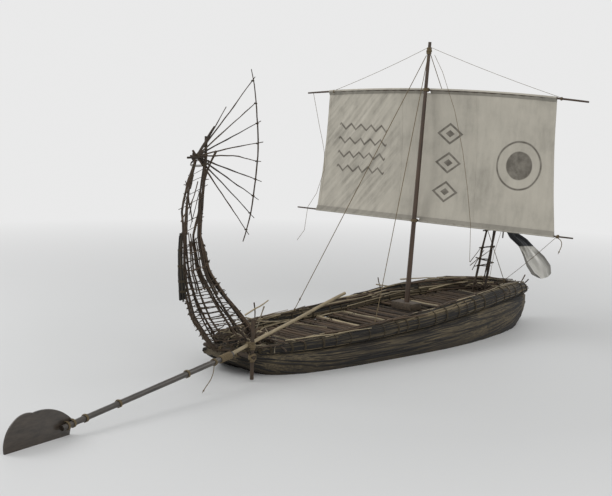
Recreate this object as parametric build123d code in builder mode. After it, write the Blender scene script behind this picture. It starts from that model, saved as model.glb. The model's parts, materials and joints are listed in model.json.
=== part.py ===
"""Reed-bundle sailing boat: a lattice stern trunk with a fan head, a square sail and a steering oar.

All sizes are in millimetres. +X points to the bow, +Y to port and +Z up. The origin is
amidships on the centreline, at the waterline.
"""

from build123d import *
import os
from math import cos, radians, sin, sqrt, tan

os.makedirs("parts", exist_ok=True)

# Fits shared by the whole boat
SEAT_GAP = 0.3  # between two pieces that touch but can move apart
BITE = 8.0  # how deep a stick beds into the reeds that carry it
RING_GAP = 0.9  # between a rope ring and the round pole that turns in it

# Hull: one row for each section of the two main reed bundles
# columns: x, half width, bottom z, top z
HULL = [
    (-3020, 270, 200, 270),
    (-2620, 500, 0, 270),
    (-1800, 720, -220, 270),
    (-600, 780, -270, 300),
    (700, 770, -270, 390),
    (1700, 620, -220, 450),
    (2250, 470, -130, 440),
    (2600, 330, -20, 425),
    (2850, 215, 110, 412),
    (3000, 125, 220, 400),
]
BILGE_SHARE = 0.5  # rounding of a main bundle, as shares of its narrower side
SHOULDER_SHARE = 0.22
KEEL_SHARE = 0.22

# Gunwale bundles: x, z of the top, radius
GUNWALE = [
    (-2690, 366, 52),
    (-2000, 400, 62),
    (-1000, 450, 76),
    (0, 520, 90),
    (1000, 610, 100),
    (1800, 650, 100),
    (2600, 620, 84),
    (3020, 545, 58),
]
GUNWALE_INSET = 0.8  # how far in from the hull's side its axis lies, in radii

# Loose rail sticks on each gunwale: x at the aft end, x at the fore end, inset from the axis, lift
RAILS = [
    (-2500, -1880, -22, 0),
    (-1760, -520, -22, 0),
    (-760, 1150, 26, 0),
    (880, 2080, -24, 14),
]
RAIL_RADIUS = 16

# Deck panels of cross sticks on two bearers: name, x at the aft end, x at the fore end
DECKS = [("deck_aft", -2300, -680), ("deck_mid", -600, 620), ("deck_fore", 720, 2160)]
DECK_STICK_RADIUS = 22
DECK_PITCH = 96
BEARER_RADIUS = 20
BEARER_SPREAD = 0.45  # share of the hull's half width
DECK_SIDE_GAP = 30
DECK_BITE = 6

# Stern trunk: one row for each station of the lattice, from the hull up to its head
# columns: aft edge x, aft edge z, fore edge x, fore edge z, half width
TRUNK = [
    (-3000, 250, -2430, 300, 335),
    (-3170, 440, -2540, 500, 320),
    (-3370, 710, -2740, 730, 275),
    (-3500, 1040, -2990, 1000, 210),
    (-3540, 1300, -3200, 1270, 160),
    (-3560, 1660, -3320, 1650, 125),
    (-3590, 2020, -3305, 2000, 120),
    (-3520, 2320, -3275, 2300, 105),
    (-3405, 2590, -3252, 2590, 80),
]

# Trunk poles: angle round the section, last row, radius
TRUNK_POLES = [
    (0, 8, 17),
    (45, 5, 15),
    (90, 8, 14),
    (135, 5, 13),
    (180, 8, 16),
    (225, 5, 13),
    (270, 8, 14),
    (315, 5, 15),
]
FORE_POLE_TOP = (-3250, 0, 2870)
TRUNK_HORN = [(-3262, 66, 2100), (-3205, 60, 2370), (-3150, 55, 2520), (-3050, 50, 2690)]
HOOP_RADIUS = 8
LOWER_HOOPS = [
    (0, 0.45),
    (1, 0.05),
    (1, 0.6),
    (2, 0.1),
    (2, 0.55),
    (3, 0.05),
    (3, 0.6),
    (4, 0.2),
    (4, 0.75),
]
UPPER_HOOPS = [(5, 0.3), (6, 0.1), (7, 0.1)]

# Reed bundle lashed to the aft side of the trunk: x, z, radius
TAIL_REEDS = [(-3606, 1730, 30), (-3612, 1500, 40), (-3590, 1250, 42), (-3560, 1030, 45)]

# Fan head, flat in a plane beside the fore pole: x and z of the rib tips
FAN_HUB = (-3410, 2640)
FAN_HUB_RADIUS = 52
FAN_RIM = [(-2616, 3665), (-2482, 2694), (-2682, 1593)]
FAN_RIM_RADIUS = 11
RIB_TIPS = [
    (-2572, 3535),
    (-2560, 3235),
    (-2476, 3026),
    (-2436, 2784),
    (-2462, 2560),
    (-2446, 2327),
    (-2480, 2114),
    (-2538, 1903),
    (-2613, 1711),
]
RIB_ROOT = 34  # from the hub's centre
RIB_RADIUS = 13
RIB_TIP_RADIUS = 8
RIB_AT_RIM = 8.6  # the ribs' radius where they cross the rim pole

# Mast, raked forward, and the point where its axis meets the height that the rig is measured from
MAST_RAKE = 4.2
RIG_DATUM = Vector(445, 0, 1040)
MAST_BELOW_DATUM = 634
MAST_ABOVE_DATUM = 3086
MAST_RADIUS = 37.5
MAST_TIP_RADIUS = 22.5
STEP_SIZE = (230, 380, 92)
STEP_CORNER = 30
MASTHEAD_BELOW_TIP = 120
MASTHEAD_LENGTH = 90
MASTHEAD_WALL = 12

# Stays: name, x and side of the foot on the gunwale
STAYS = [("backstay_port", -1200, 1), ("backstay_starboard", -980, -1)]
STAY_RADIUS = 5
STAY_INSET = 30  # of the foot, inboard of the gunwale's axis
FORESTAY_FOOT = 2750

# Square rig, measured from the datum: across to starboard, and up along the mast
BRACE_ANGLE = 13.9
RIG_AHEAD = 60  # from the mast's axis to the sail
YARD = [(-1940, 2300), (0, 2437), (2320, 2390)]
YARD_RADIUS = 17
BOOM = (-1960, 2290, 625)
BOOM_RADIUS = 14
SAIL_THICKNESS = 8
SAIL_HEAD = (-1580, 1885)
SAIL_FOOT = (-1640, 2030)
PARREL_RADIUS = 6
NOTCH_GAP = 3  # round the parrels, where they pass through the sail's edges

# Steering oar: it lies in an upright plane that runs out and aft over the starboard quarter
OAR_POINT = Vector(-2962, -500, 427)  # on the inner pole's axis, in the rope eye
OAR_HEADING = 193.07  # direction of the blade in plan, in degrees from +X
POLE_SLOPE = 9.0
LOOM_SLOPE = 5.43
POLE_RADIUS = 22.5
POLE_INBOARD = 2200
KINK = 460  # from the eye out to the kink, where the pole enters the loom
POLE_PAST_KINK = 140
LOOM_SOCKET = 140
LOOM_RADIUS = 35
LOOM_TIP_RADIUS = 31
LOOM_LENGTH = 2800
LOOM_KNOTS = [700, 1830, 2330]  # raised joints of the loom, measured from the kink
KNOT_RADIUS = 7
KNOT_SINK = 3  # of a knot's middle below the loom's surface
BLADE_START = 2450  # from the kink to the blade's shoulder
BLADE_THICKNESS = 22

# Blade outline, each row an arc through three points: along the loom, and up across it
BLADE_ARCS = [
    [(0, 0), (230, 190), (536, 257)],
    [(536, 257), (850, 200), (936, 30)],
    [(936, 30), (860, -200), (600, -290)],
    [(600, -290), (300, -300), (40, -240)],
    [(40, -240), (74, -140), (0, 0)],
]
SPLICE_LENGTH = 210
SPLICE_WALL = 8

# Post and rope grommet that hold the oar
POST_RADIUS = 24
POST_FOOT = 20
POST_TOP = 750
GROMMET_RADIUS = 8
RING_SPREAD = 1  # between the middles of the grommet's two rings where they cross
WHIPPING_RADIUS = 5
WHIPPING_OFF = 28  # above and below the grommet's middle
WHIPPING_SINK = 4.5  # of a whipping's middle below a full seat on the post
BEAM_RADIUS = 28
BEAM_PORT_END = 300

# Bow frame: legs as foot x, top x, half spread at the foot and at the top
BOW_LEGS = [(1990, 2400, 110), (2280, 2500, 110)]
BOW_TOP = 2150
BOW_TOP_SPREAD = 45
BOW_LEG_RADIUS = 17
BOW_LEG_TIP_RADIUS = 12
BOW_LOW_RUNGS = [890, 975, 1170]
BOW_RUNGS = [1425, 1720, 2010]
BOW_RUNG_RADIUS = 9

# Flag staff, lashed along the fore leg on the starboard side: z of its two ends
FLAG_STAFF = (1300, 2400)
FLAG_STAFF_RADIUS = 10
FLAG_HEADING = -37
FLAG_THICKNESS = 10

# Flag outline: out from the staff's axis, and up along it from its lower end
FLAG_SHAPE = [
    (10.3, 601),
    (10.3, 201),
    (156, -40),
    (311, -220),
    (392, -424),
    (486, -582),
    (595, -678),
    (749, -512),
    (747, -392),
    (589, -225),
    (426, -27),
    (289, 130),
    (129, 356),
]

# Free rope ends: the lanyard on the oar and the tail at the boom's end
ROPE_RADIUS = 5
LANYARD_RADIUS = 5
LANYARD_AT = 205  # from the kink out along the loom
LANYARD = [(0, 0), (-6, -52), (-24, -104), (-60, -152), (-108, -190), (-158, -224), (-196, -262)]
TAIL_AT = 2080
BOOM_TAIL = [(0, 0), (32, -14), (54, -42), (62, -78), (56, -116), (42, -152), (30, -190)]


def between(rows, x):
    """Read a table of rows at x, straight from one row to the next."""
    x = min(max(x, rows[0][0]), rows[-1][0])
    for low, high in zip(rows, rows[1:]):
        if x <= high[0]:
            share = (x - low[0]) / (high[0] - low[0])
            return [a + (b - a) * share for a, b in zip(low[1:], high[1:])]
    return list(rows[-1][1:])


def bend_radii(points):
    """Radii that round every corner of a route as widely as its two runs allow."""
    radii = []
    for before, corner, after in zip(points, points[1:], points[2:]):
        run_in = Vector(*corner) - Vector(*before)
        run_out = Vector(*after) - Vector(*corner)
        half_turn = radians(run_in.get_angle(run_out)) / 2
        radii.append(0.45 * min(run_in.length, run_out.length) / tan(half_turn))
    return radii


def bent_pole(points, radius):
    """A round pole or rope along a route of gentle bends."""
    with BuildPart() as pole:
        with BuildLine() as route:
            FilletPolyline(*points, radius=bend_radii(points))
        with BuildSketch(Plane(origin=route.line @ 0, z_dir=route.line % 0)):
            Circle(radius)
        sweep()
    return pole.part


def stick(start, end, radius, tip_radius=None):
    """A straight round stick, made by itself."""
    run = Vector(*end) - Vector(*start)
    with BuildPart(Plane(origin=start, z_dir=run)) as made:
        if tip_radius is None:
            Cylinder(radius, run.length, align=(Align.CENTER, Align.CENTER, Align.MIN))
        else:
            Cone(radius, tip_radius, run.length, align=(Align.CENTER, Align.CENTER, Align.MIN))
    return made.part


def tube(start, end, outer, inner):
    """A straight round sleeve, made by itself."""
    run = Vector(*end) - Vector(*start)
    with BuildPart(Plane(origin=start, z_dir=run)) as made:
        Cylinder(outer, run.length, align=(Align.CENTER, Align.CENTER, Align.MIN))
        Cylinder(
            inner, run.length, align=(Align.CENTER, Align.CENTER, Align.MIN), mode=Mode.SUBTRACT
        )
    return made.part


def ring(centre, axis, major, minor):
    """A rope ring round an axis, made by itself."""
    with BuildPart(Plane(origin=centre, z_dir=axis)) as made:
        Torus(major, minor)
    return made.part


def save(part, name):
    """Label a finished piece and write its file."""
    part.label = name
    export_step(part, f"parts/{name}.step")


# Main reed bundles, one each side of the centreline
with BuildPart() as hull_bundle_port:
    for x, half_width, bottom, top in HULL:
        narrow = min(half_width, top - bottom)
        corners = [KEEL_SHARE * narrow, BILGE_SHARE * narrow, SHOULDER_SHARE * narrow, 0]
        with BuildSketch(Plane.YZ.offset(x)):
            with BuildLine():
                FilletPolyline(
                    (0, bottom),
                    (half_width, bottom),
                    (half_width, top),
                    (0, top),
                    radius=corners,
                    close=True,
                )
            make_face()
    loft()

with BuildPart() as hull_bundle_starboard:
    mirror(hull_bundle_port.part, about=Plane.XZ)


def gunwale_axis(x):
    """Port side point on the gunwale bundle's axis, and its radius."""
    top, radius = between(GUNWALE, x)
    half_width = between(HULL, x)[0]
    return Vector(x, half_width - GUNWALE_INSET * radius, top - radius), radius


# Gunwale bundles, bedded on the main bundles
with BuildPart() as gunwale_port:
    for x, _, _ in GUNWALE:
        centre, radius = gunwale_axis(x)
        with BuildSketch(Plane.YZ.offset(x)):
            with Locations((centre.Y, centre.Z)):
                Circle(radius)
    loft()
    add(hull_bundle_port.part, mode=Mode.SUBTRACT)

with BuildPart() as gunwale_starboard:
    mirror(gunwale_port.part, about=Plane.XZ)


def rail_stick(aft, fore, inset, lift):
    """One loose stick that lies along the port gunwale."""
    ends = []
    for x in (aft, fore):
        centre, radius = gunwale_axis(x)
        height = sqrt((radius + RAIL_RADIUS - BITE) ** 2 - inset**2)
        ends.append((x, centre.Y - inset, centre.Z + height + lift))
    return stick(*ends, RAIL_RADIUS)


rail_sticks = [rail_stick(*row) for row in RAILS]
with BuildPart() as rail_port:
    for piece in rail_sticks:
        add(piece)
    add(gunwale_port.part, mode=Mode.SUBTRACT)

with BuildPart() as rail_starboard:
    mirror(rail_port.part, about=Plane.XZ)


def deck_top(x):
    """Height of the deck sticks' upper side."""
    bearer = between(HULL, x)[2] + BEARER_RADIUS - BITE
    return bearer + BEARER_RADIUS + 2 * DECK_STICK_RADIUS - DECK_BITE


def deck_bearers(aft, fore):
    """The two bearers of one deck panel, bedded on the main bundles."""
    pieces = []
    for side in (-1, 1):
        stations = [aft] + [row[0] for row in HULL if aft < row[0] < fore] + [fore]
        points = []
        for x in stations:
            half_width, _, top = between(HULL, x)
            points.append((x, side * BEARER_SPREAD * half_width, top + BEARER_RADIUS - BITE))
        pieces += [stick(a, b, BEARER_RADIUS) for a, b in zip(points, points[1:])]
    with BuildPart() as bearers:
        add(pieces)
        for hull in (hull_bundle_port, hull_bundle_starboard):
            add(hull.part, mode=Mode.SUBTRACT)
    return bearers.part


def deck_sticks(aft, fore):
    """The cross sticks of one deck panel."""
    pieces = []
    count = int((fore - aft - 2 * DECK_STICK_RADIUS) / DECK_PITCH)
    for index in range(count + 1):
        x = aft + 2 * DECK_STICK_RADIUS + index * DECK_PITCH
        centre, radius = gunwale_axis(x)
        reach = centre.Y - radius - DECK_SIDE_GAP
        z = deck_top(x) - DECK_STICK_RADIUS
        pieces.append(stick((x, -reach, z), (x, reach, z), DECK_STICK_RADIUS))
    return pieces


def trunk_point(row, angle):
    """Point on the trunk's section at one row, by the angle round it from the fore edge."""
    aft_x, aft_z, fore_x, fore_z, half_width = TRUNK[row]
    centre = Vector((aft_x + fore_x) / 2, 0, (aft_z + fore_z) / 2)
    reach = Vector((fore_x - aft_x) / 2, 0, (fore_z - aft_z) / 2)
    side = Vector(0, half_width, 0)
    return centre + reach * cos(radians(angle)) + side * sin(radians(angle))


def trunk_between(row, share, angle):
    """Point on a trunk pole, part of the way from one row to the next."""
    return trunk_point(row, angle) * (1 - share) + trunk_point(row + 1, angle) * share


def trunk_pole(angle, last, radius):
    """One long pole of the trunk."""
    points = [trunk_point(row, angle) for row in range(last + 1)]
    if angle == 0:
        points.append(Vector(*FORE_POLE_TOP))
    if angle == 45:
        points += [Vector(*point) for point in TRUNK_HORN]
    return bent_pole(points, radius)


def hoop_sticks(row, share, angles):
    """The short sticks that make one hoop round the trunk's poles."""
    corners = [trunk_between(row, share, angle) for angle in angles]
    return [stick(a, b, HOOP_RADIUS) for a, b in zip(corners, corners[1:] + corners[:1])]


trunk_poles = {row[0]: trunk_pole(*row) for row in TRUNK_POLES}
trunk_pieces = list(trunk_poles.values())
for row, share in LOWER_HOOPS:
    trunk_pieces += hoop_sticks(row, share, [angle for angle, _, _ in TRUNK_POLES])
for row, share in UPPER_HOOPS:
    trunk_pieces += hoop_sticks(row, share, [0, 90, 180, 270])

with BuildPart() as stern_trunk:
    add(trunk_pieces)
    for hull in (hull_bundle_port, hull_bundle_starboard):
        add(hull.part, mode=Mode.SUBTRACT)

# Reeds lashed to the trunk's aft side
with BuildPart() as tail_reeds:
    for x, z, radius in TAIL_REEDS:
        with BuildSketch(Plane.XY.offset(z)):
            with Locations((x, 0)):
                Circle(radius)
    loft()
    add(stern_trunk.part, mode=Mode.SUBTRACT)

# Deck panels
deck_parts = {}
for name, aft, fore in DECKS:
    bearers = deck_bearers(aft, fore)
    sticks = deck_sticks(aft, fore)
    with BuildPart() as deck:
        add(bearers)
        add(sticks)
    deck_parts[name] = deck.part

# Fan head, in a plane that lies against the fore pole of the trunk
FAN_SIDE = -(TRUNK_POLES[0][2] + RIB_RADIUS + SEAT_GAP)
hub = Vector(FAN_HUB[0], FAN_SIDE, FAN_HUB[1])
fan_pieces = []
for x, z in RIB_TIPS:
    tip = Vector(x, FAN_SIDE, z)
    root = hub + (tip - hub).normalized() * RIB_ROOT
    fan_pieces.append(stick(root, tip, RIB_RADIUS, RIB_TIP_RADIUS))

rim_side = FAN_SIDE - (RIB_AT_RIM + FAN_RIM_RADIUS + SEAT_GAP)
with BuildPart() as fan_rim:
    with BuildLine() as rim:
        ThreePointArc(*[(x, rim_side, z) for x, z in FAN_RIM])
    with BuildSketch(Plane(origin=rim.line @ 0, z_dir=rim.line % 0)):
        Circle(FAN_RIM_RADIUS)
    sweep()

with BuildPart() as fan:
    with Locations(hub):
        Sphere(FAN_HUB_RADIUS)
    add(fan_pieces)
    add(trunk_poles[180], mode=Mode.SUBTRACT)

# Mast and its step
mast_up = Vector(sin(radians(MAST_RAKE)), 0, cos(radians(MAST_RAKE)))
mast_fore = Vector(cos(radians(MAST_RAKE)), 0, -sin(radians(MAST_RAKE)))
mast_foot = RIG_DATUM - mast_up * MAST_BELOW_DATUM
mast_tip = RIG_DATUM + mast_up * MAST_ABOVE_DATUM
mast_length = MAST_BELOW_DATUM + MAST_ABOVE_DATUM


def mast_radius(height):
    """Radius of the tapered mast at a height above the rig's datum."""
    share = (height + MAST_BELOW_DATUM) / mast_length
    return MAST_RADIUS + (MAST_TIP_RADIUS - MAST_RADIUS) * share


mast = stick(mast_foot, mast_tip, MAST_RADIUS, MAST_TIP_RADIUS)
step_well = stick(mast_foot - mast_up * SEAT_GAP, mast_tip, MAST_RADIUS + SEAT_GAP)

with BuildPart() as mast_step:
    with Locations((mast_foot.X, 0, deck_top(mast_foot.X) - DECK_BITE)):
        Box(*STEP_SIZE, align=(Align.CENTER, Align.CENTER, Align.MIN))
    fillet(mast_step.edges().filter_by(Axis.Z), STEP_CORNER)
    add(deck_parts["deck_mid"], mode=Mode.SUBTRACT)
    add(step_well, mode=Mode.SUBTRACT)

with BuildPart() as deck_mid_cut:
    add(deck_parts["deck_mid"])
    add(step_well, mode=Mode.SUBTRACT)
deck_parts["deck_mid"] = deck_mid_cut.part

masthead_top = MAST_ABOVE_DATUM - MASTHEAD_BELOW_TIP + MASTHEAD_LENGTH / 2
masthead_low = masthead_top - MASTHEAD_LENGTH
masthead_bore = mast_radius(masthead_low) + SEAT_GAP
masthead = tube(
    RIG_DATUM + mast_up * masthead_low,
    RIG_DATUM + mast_up * masthead_top,
    masthead_bore + MASTHEAD_WALL,
    masthead_bore,
)
stay_head = RIG_DATUM + mast_up * (MAST_ABOVE_DATUM - MASTHEAD_BELOW_TIP)
stay_clear = stick(
    stay_head - mast_up * MASTHEAD_LENGTH,
    stay_head + mast_up * MASTHEAD_LENGTH,
    masthead_bore + MASTHEAD_WALL,
)

# Stays from the masthead to the hull
stay_parts = {}
for name, x, side in STAYS:
    foot, _ = gunwale_axis(x)
    stay = stick(stay_head, (x, side * (foot.Y - STAY_INSET), foot.Z), STAY_RADIUS)
    gunwale = gunwale_port if side > 0 else gunwale_starboard
    with BuildPart() as trimmed:
        add(stay)
        add(stay_clear, mode=Mode.SUBTRACT)
        add(gunwale.part, mode=Mode.SUBTRACT)
    stay_parts[name] = trimmed.part

forestay_low = (FORESTAY_FOOT, 0, between(HULL, FORESTAY_FOOT)[2] - 4 * BITE)
with BuildPart() as forestay:
    add(stick(stay_head, forestay_low, STAY_RADIUS))
    add(stay_clear, mode=Mode.SUBTRACT)
    for hull in (hull_bundle_port, hull_bundle_starboard):
        add(hull.part, mode=Mode.SUBTRACT)
stay_parts["forestay"] = forestay.part

# Square rig, braced round the mast's axis
rig_across = mast_fore * sin(radians(BRACE_ANGLE)) - Vector(0, 1, 0) * cos(radians(BRACE_ANGLE))
rig_ahead = mast_fore * cos(radians(BRACE_ANGLE)) + Vector(0, 1, 0) * sin(radians(BRACE_ANGLE))
rig_plane = Plane(
    origin=RIG_DATUM + rig_ahead * RIG_AHEAD, x_dir=rig_across, z_dir=rig_ahead * -1
)


def rig_point(across, height, ahead=0.0):
    """Point in the sail's plane, or ahead of it."""
    return rig_plane.from_local_coords((across, height, -ahead))


def circle_through(a, b, c):
    """Centre and radius of the circle through three points of the rig's plane."""
    (ax, ay), (bx, by), (cx, cy) = a, b, c
    twice_area = 2 * (ax * (by - cy) + bx * (cy - ay) + cx * (ay - by))
    squares = [ax**2 + ay**2, bx**2 + by**2, cx**2 + cy**2]
    x = (squares[0] * (by - cy) + squares[1] * (cy - ay) + squares[2] * (ay - by)) / twice_area
    y = (squares[0] * (cx - bx) + squares[1] * (ax - cx) + squares[2] * (bx - ax)) / twice_area
    return x, y, sqrt((ax - x) ** 2 + (ay - y) ** 2)


bow_x, bow_y, yard_bend = circle_through(*YARD)


def yard_height(across, below=0.0):
    """Height of the bowed yard's axis, or of a line at an even distance below it."""
    return bow_y + sqrt((yard_bend - below) ** 2 - (across - bow_x) ** 2)


with BuildPart() as yard:
    with BuildLine() as yard_line:
        ThreePointArc(*[rig_point(*point) for point in YARD])
    with BuildSketch(Plane(origin=yard_line.line @ 0, z_dir=yard_line.line % 0)):
        Circle(YARD_RADIUS)
    sweep()

boom = stick(rig_point(BOOM[0], BOOM[2]), rig_point(BOOM[1], BOOM[2]), BOOM_RADIUS)

head_drop = YARD_RADIUS + SEAT_GAP
foot_height = BOOM[2] + BOOM_RADIUS + SEAT_GAP
head_left = (SAIL_HEAD[0], yard_height(SAIL_HEAD[0], head_drop))
head_right = (SAIL_HEAD[1], yard_height(SAIL_HEAD[1], head_drop))
with BuildPart() as sail:
    with BuildSketch(rig_plane):
        with BuildLine():
            ThreePointArc(head_left, (0, yard_height(0, head_drop)), head_right)
            Polyline(head_right, (SAIL_FOOT[1], foot_height), (SAIL_FOOT[0], foot_height), head_left)
        make_face()
        for spar, height in ((YARD_RADIUS, yard_height(0)), (BOOM_RADIUS, BOOM[2])):
            with Locations((0, height)):
                Circle(spar + SEAT_GAP + 2 * PARREL_RADIUS + NOTCH_GAP, mode=Mode.SUBTRACT)
    extrude(amount=SAIL_THICKNESS / 2, both=True)


def parrel(height, spar_radius):
    """Rope rings that hold a spar against the mast and let it swing round."""
    mast_ring = mast_radius(height) + RING_GAP + PARREL_RADIUS
    spar_ring = spar_radius + SEAT_GAP + PARREL_RADIUS
    axis_point = RIG_DATUM + mast_up * height
    round_mast = ring(axis_point, mast_up, mast_ring, PARREL_RADIUS)
    round_spar = ring(rig_point(0, height), rig_across, spar_ring, PARREL_RADIUS)
    return round_mast, round_spar


parrel_parts = {}
for name, height, spar_radius in [
    ("yard_parrel", yard_height(0), YARD_RADIUS),
    ("boom_parrel", BOOM[2], BOOM_RADIUS),
]:
    round_mast, round_spar = parrel(height, spar_radius)
    with BuildPart() as rope:
        add(round_mast)
        add(round_spar)
    parrel_parts[name] = rope.part

# Steering oar, in its own upright plane
oar_out = Vector(cos(radians(OAR_HEADING)), sin(radians(OAR_HEADING)), 0)
oar_side = Vector(-oar_out.Y, oar_out.X, 0)
pole_out = oar_out * cos(radians(POLE_SLOPE)) - Vector(0, 0, 1) * sin(radians(POLE_SLOPE))
loom_out = oar_out * cos(radians(LOOM_SLOPE)) - Vector(0, 0, 1) * sin(radians(LOOM_SLOPE))
loom_up = oar_out * sin(radians(LOOM_SLOPE)) + Vector(0, 0, 1) * cos(radians(LOOM_SLOPE))
kink_point = OAR_POINT + pole_out * KINK
pole_start = OAR_POINT - pole_out * POLE_INBOARD
pole_end = kink_point + pole_out * POLE_PAST_KINK
loom_start = kink_point - loom_out * LOOM_SOCKET
loom_end = loom_start + loom_out * LOOM_LENGTH

oar_pole = stick(pole_start, pole_end, POLE_RADIUS)
loom_cone = stick(loom_start, loom_end, LOOM_RADIUS, LOOM_TIP_RADIUS)
socket = stick(pole_start, pole_end + pole_out * SEAT_GAP, POLE_RADIUS + SEAT_GAP)


def loom_radius(distance):
    """Radius of the tapered loom at a distance out from the kink."""
    share = (distance + LOOM_SOCKET) / LOOM_LENGTH
    return LOOM_RADIUS + (LOOM_TIP_RADIUS - LOOM_RADIUS) * share


loom_knots = [
    ring(kink_point + loom_out * at, loom_out, loom_radius(at) - KNOT_SINK, KNOT_RADIUS)
    for at in LOOM_KNOTS
]
with BuildPart() as oar_loom:
    add(loom_cone)
    add(loom_knots)
    add(socket, mode=Mode.SUBTRACT)

splice_start = kink_point - loom_out * (SPLICE_LENGTH / 2)
oar_splice = tube(
    splice_start,
    splice_start + loom_out * SPLICE_LENGTH,
    LOOM_RADIUS + SEAT_GAP + SPLICE_WALL,
    LOOM_RADIUS + SEAT_GAP,
)

# Blade: a board against the inboard side of the loom, with a notch under its shoulder
blade_offset = loom_radius(BLADE_START) + SEAT_GAP + BLADE_THICKNESS / 2
blade_plane = Plane(
    origin=kink_point + loom_out * BLADE_START - oar_side * blade_offset,
    x_dir=loom_out,
    z_dir=loom_out.cross(loom_up),
)
with BuildPart() as oar_blade:
    with BuildSketch(blade_plane):
        with BuildLine():
            for arc in BLADE_ARCS:
                ThreePointArc(*arc)
        make_face()
    extrude(amount=BLADE_THICKNESS / 2, both=True)

# Post, stern beam and the rope grommet that carries the oar
eye_major = POLE_RADIUS + RING_GAP + GROMMET_RADIUS
post_major = POST_RADIUS + RING_GAP + GROMMET_RADIUS
post_axis = OAR_POINT + oar_side * (eye_major + post_major + RING_SPREAD)

with BuildPart() as oar_grommet:
    add(ring(OAR_POINT, pole_out, eye_major, GROMMET_RADIUS))
    add(ring(post_axis, (0, 0, 1), post_major, GROMMET_RADIUS))

post_foot = (post_axis.X, post_axis.Y, POST_FOOT)
post_top = (post_axis.X, post_axis.Y, POST_TOP)
whipping_ring = POST_RADIUS + WHIPPING_RADIUS - WHIPPING_SINK
with BuildPart() as oar_post:
    add(stick(post_foot, post_top, POST_RADIUS))
    for off in (-WHIPPING_OFF, WHIPPING_OFF):
        whipping_point = (post_axis.X, post_axis.Y, OAR_POINT.Z + off)
        add(ring(whipping_point, (0, 0, 1), whipping_ring, WHIPPING_RADIUS))

beam_z = between(HULL, post_axis.X)[2] + BEAM_RADIUS - BITE
with BuildPart() as stern_beam:
    beam_start = (post_axis.X, post_axis.Y, beam_z)
    add(stick(beam_start, (post_axis.X, BEAM_PORT_END, beam_z), BEAM_RADIUS))
    for piece in (hull_bundle_port, hull_bundle_starboard, stern_trunk, oar_post):
        add(piece.part, mode=Mode.SUBTRACT)

# Bow frame: four poles that lean together, with rungs
bow_foot_z = {x: deck_top(x) - 2 * DECK_STICK_RADIUS for x, _, _ in BOW_LEGS}


def bow_leg_point(leg, side, z):
    """Point on one leg of the bow frame at a height."""
    foot_x, top_x, spread = leg
    share = (z - bow_foot_z[foot_x]) / (BOW_TOP - bow_foot_z[foot_x])
    x = foot_x + (top_x - foot_x) * share
    return Vector(x, side * (spread + (BOW_TOP_SPREAD - spread) * share), z)


def bow_leg_radius(leg, z):
    """Radius of a tapered leg of the bow frame at a height."""
    share = (z - bow_foot_z[leg[0]]) / (BOW_TOP - bow_foot_z[leg[0]])
    return BOW_LEG_RADIUS + (BOW_LEG_TIP_RADIUS - BOW_LEG_RADIUS) * share


# Its corners, from the aft starboard leg round: the second pole starts at the lowest full rung
aft_leg, fore_leg = BOW_LEGS
bow_corners = [(aft_leg, -1), (fore_leg, -1), (fore_leg, 1), (aft_leg, 1)]
bow_pieces = []
for number, (leg, side) in enumerate(bow_corners):
    low = BOW_RUNGS[0] - BOW_RUNG_RADIUS if number == 1 else bow_foot_z[leg[0]]
    foot, head = bow_leg_point(leg, side, low), bow_leg_point(leg, side, BOW_TOP)
    bow_pieces.append(stick(foot, head, bow_leg_radius(leg, low), BOW_LEG_TIP_RADIUS))
for z in BOW_LOW_RUNGS + BOW_RUNGS:
    corners = [corner for number, corner in enumerate(bow_corners) if number != 1 or z in BOW_RUNGS]
    loop = [bow_leg_point(leg, side, z) for leg, side in corners]
    bow_pieces += [stick(a, b, BOW_RUNG_RADIUS) for a, b in zip(loop, loop[1:] + loop[:1])]

with BuildPart() as bow_frame:
    add(bow_pieces)
    add(deck_parts["deck_fore"], mode=Mode.SUBTRACT)
    for hull in (hull_bundle_port, hull_bundle_starboard):
        add(hull.part, mode=Mode.SUBTRACT)

# Flag staff and flag


def staff_point(z):
    """Point on the flag staff's axis, which lies against the tapered fore leg."""
    beside = bow_leg_radius(fore_leg, z) + FLAG_STAFF_RADIUS + SEAT_GAP
    return bow_leg_point(fore_leg, -1, z) - Vector(0, beside, 0)


staff_foot, staff_head = [staff_point(z) for z in FLAG_STAFF]
flag_staff = stick(staff_foot, staff_head, FLAG_STAFF_RADIUS)

staff_up = (staff_head - staff_foot).normalized()
flag_run = Vector(cos(radians(FLAG_HEADING)), sin(radians(FLAG_HEADING)), 0)
flag_side = flag_run.cross(staff_up).normalized()
flag_plane = Plane(origin=staff_foot, x_dir=staff_up.cross(flag_side), z_dir=flag_side)
with BuildPart() as flag:
    with BuildSketch(flag_plane):
        with BuildLine():
            Polyline(*FLAG_SHAPE, close=True)
        make_face()
    extrude(amount=FLAG_THICKNESS / 2, both=True)

# Free rope ends, each on the hitch that holds it
lanyard_point = kink_point + loom_out * LANYARD_AT
lanyard_ring = loom_radius(LANYARD_AT) + SEAT_GAP + LANYARD_RADIUS
lanyard_hitch = ring(lanyard_point, loom_out, lanyard_ring, LANYARD_RADIUS)
lanyard_top = lanyard_point - loom_up * (lanyard_ring + LANYARD_RADIUS)
lanyard_route = [
    lanyard_top + oar_out * -across + Vector(0, 0, down) for across, down in LANYARD
]
lanyard = bent_pole(lanyard_route, LANYARD_RADIUS)

tail_point = rig_point(TAIL_AT, BOOM[2])
tail_ring = BOOM_RADIUS + SEAT_GAP + ROPE_RADIUS
tail_hitch = ring(tail_point, rig_across, tail_ring, ROPE_RADIUS)
tail_start = tail_point + rig_across * ROPE_RADIUS
tail_route = [
    tail_start + rig_across * across + mast_up * (up - tail_ring) for across, up in BOOM_TAIL
]
boom_tail = bent_pole(tail_route, ROPE_RADIUS)

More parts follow.
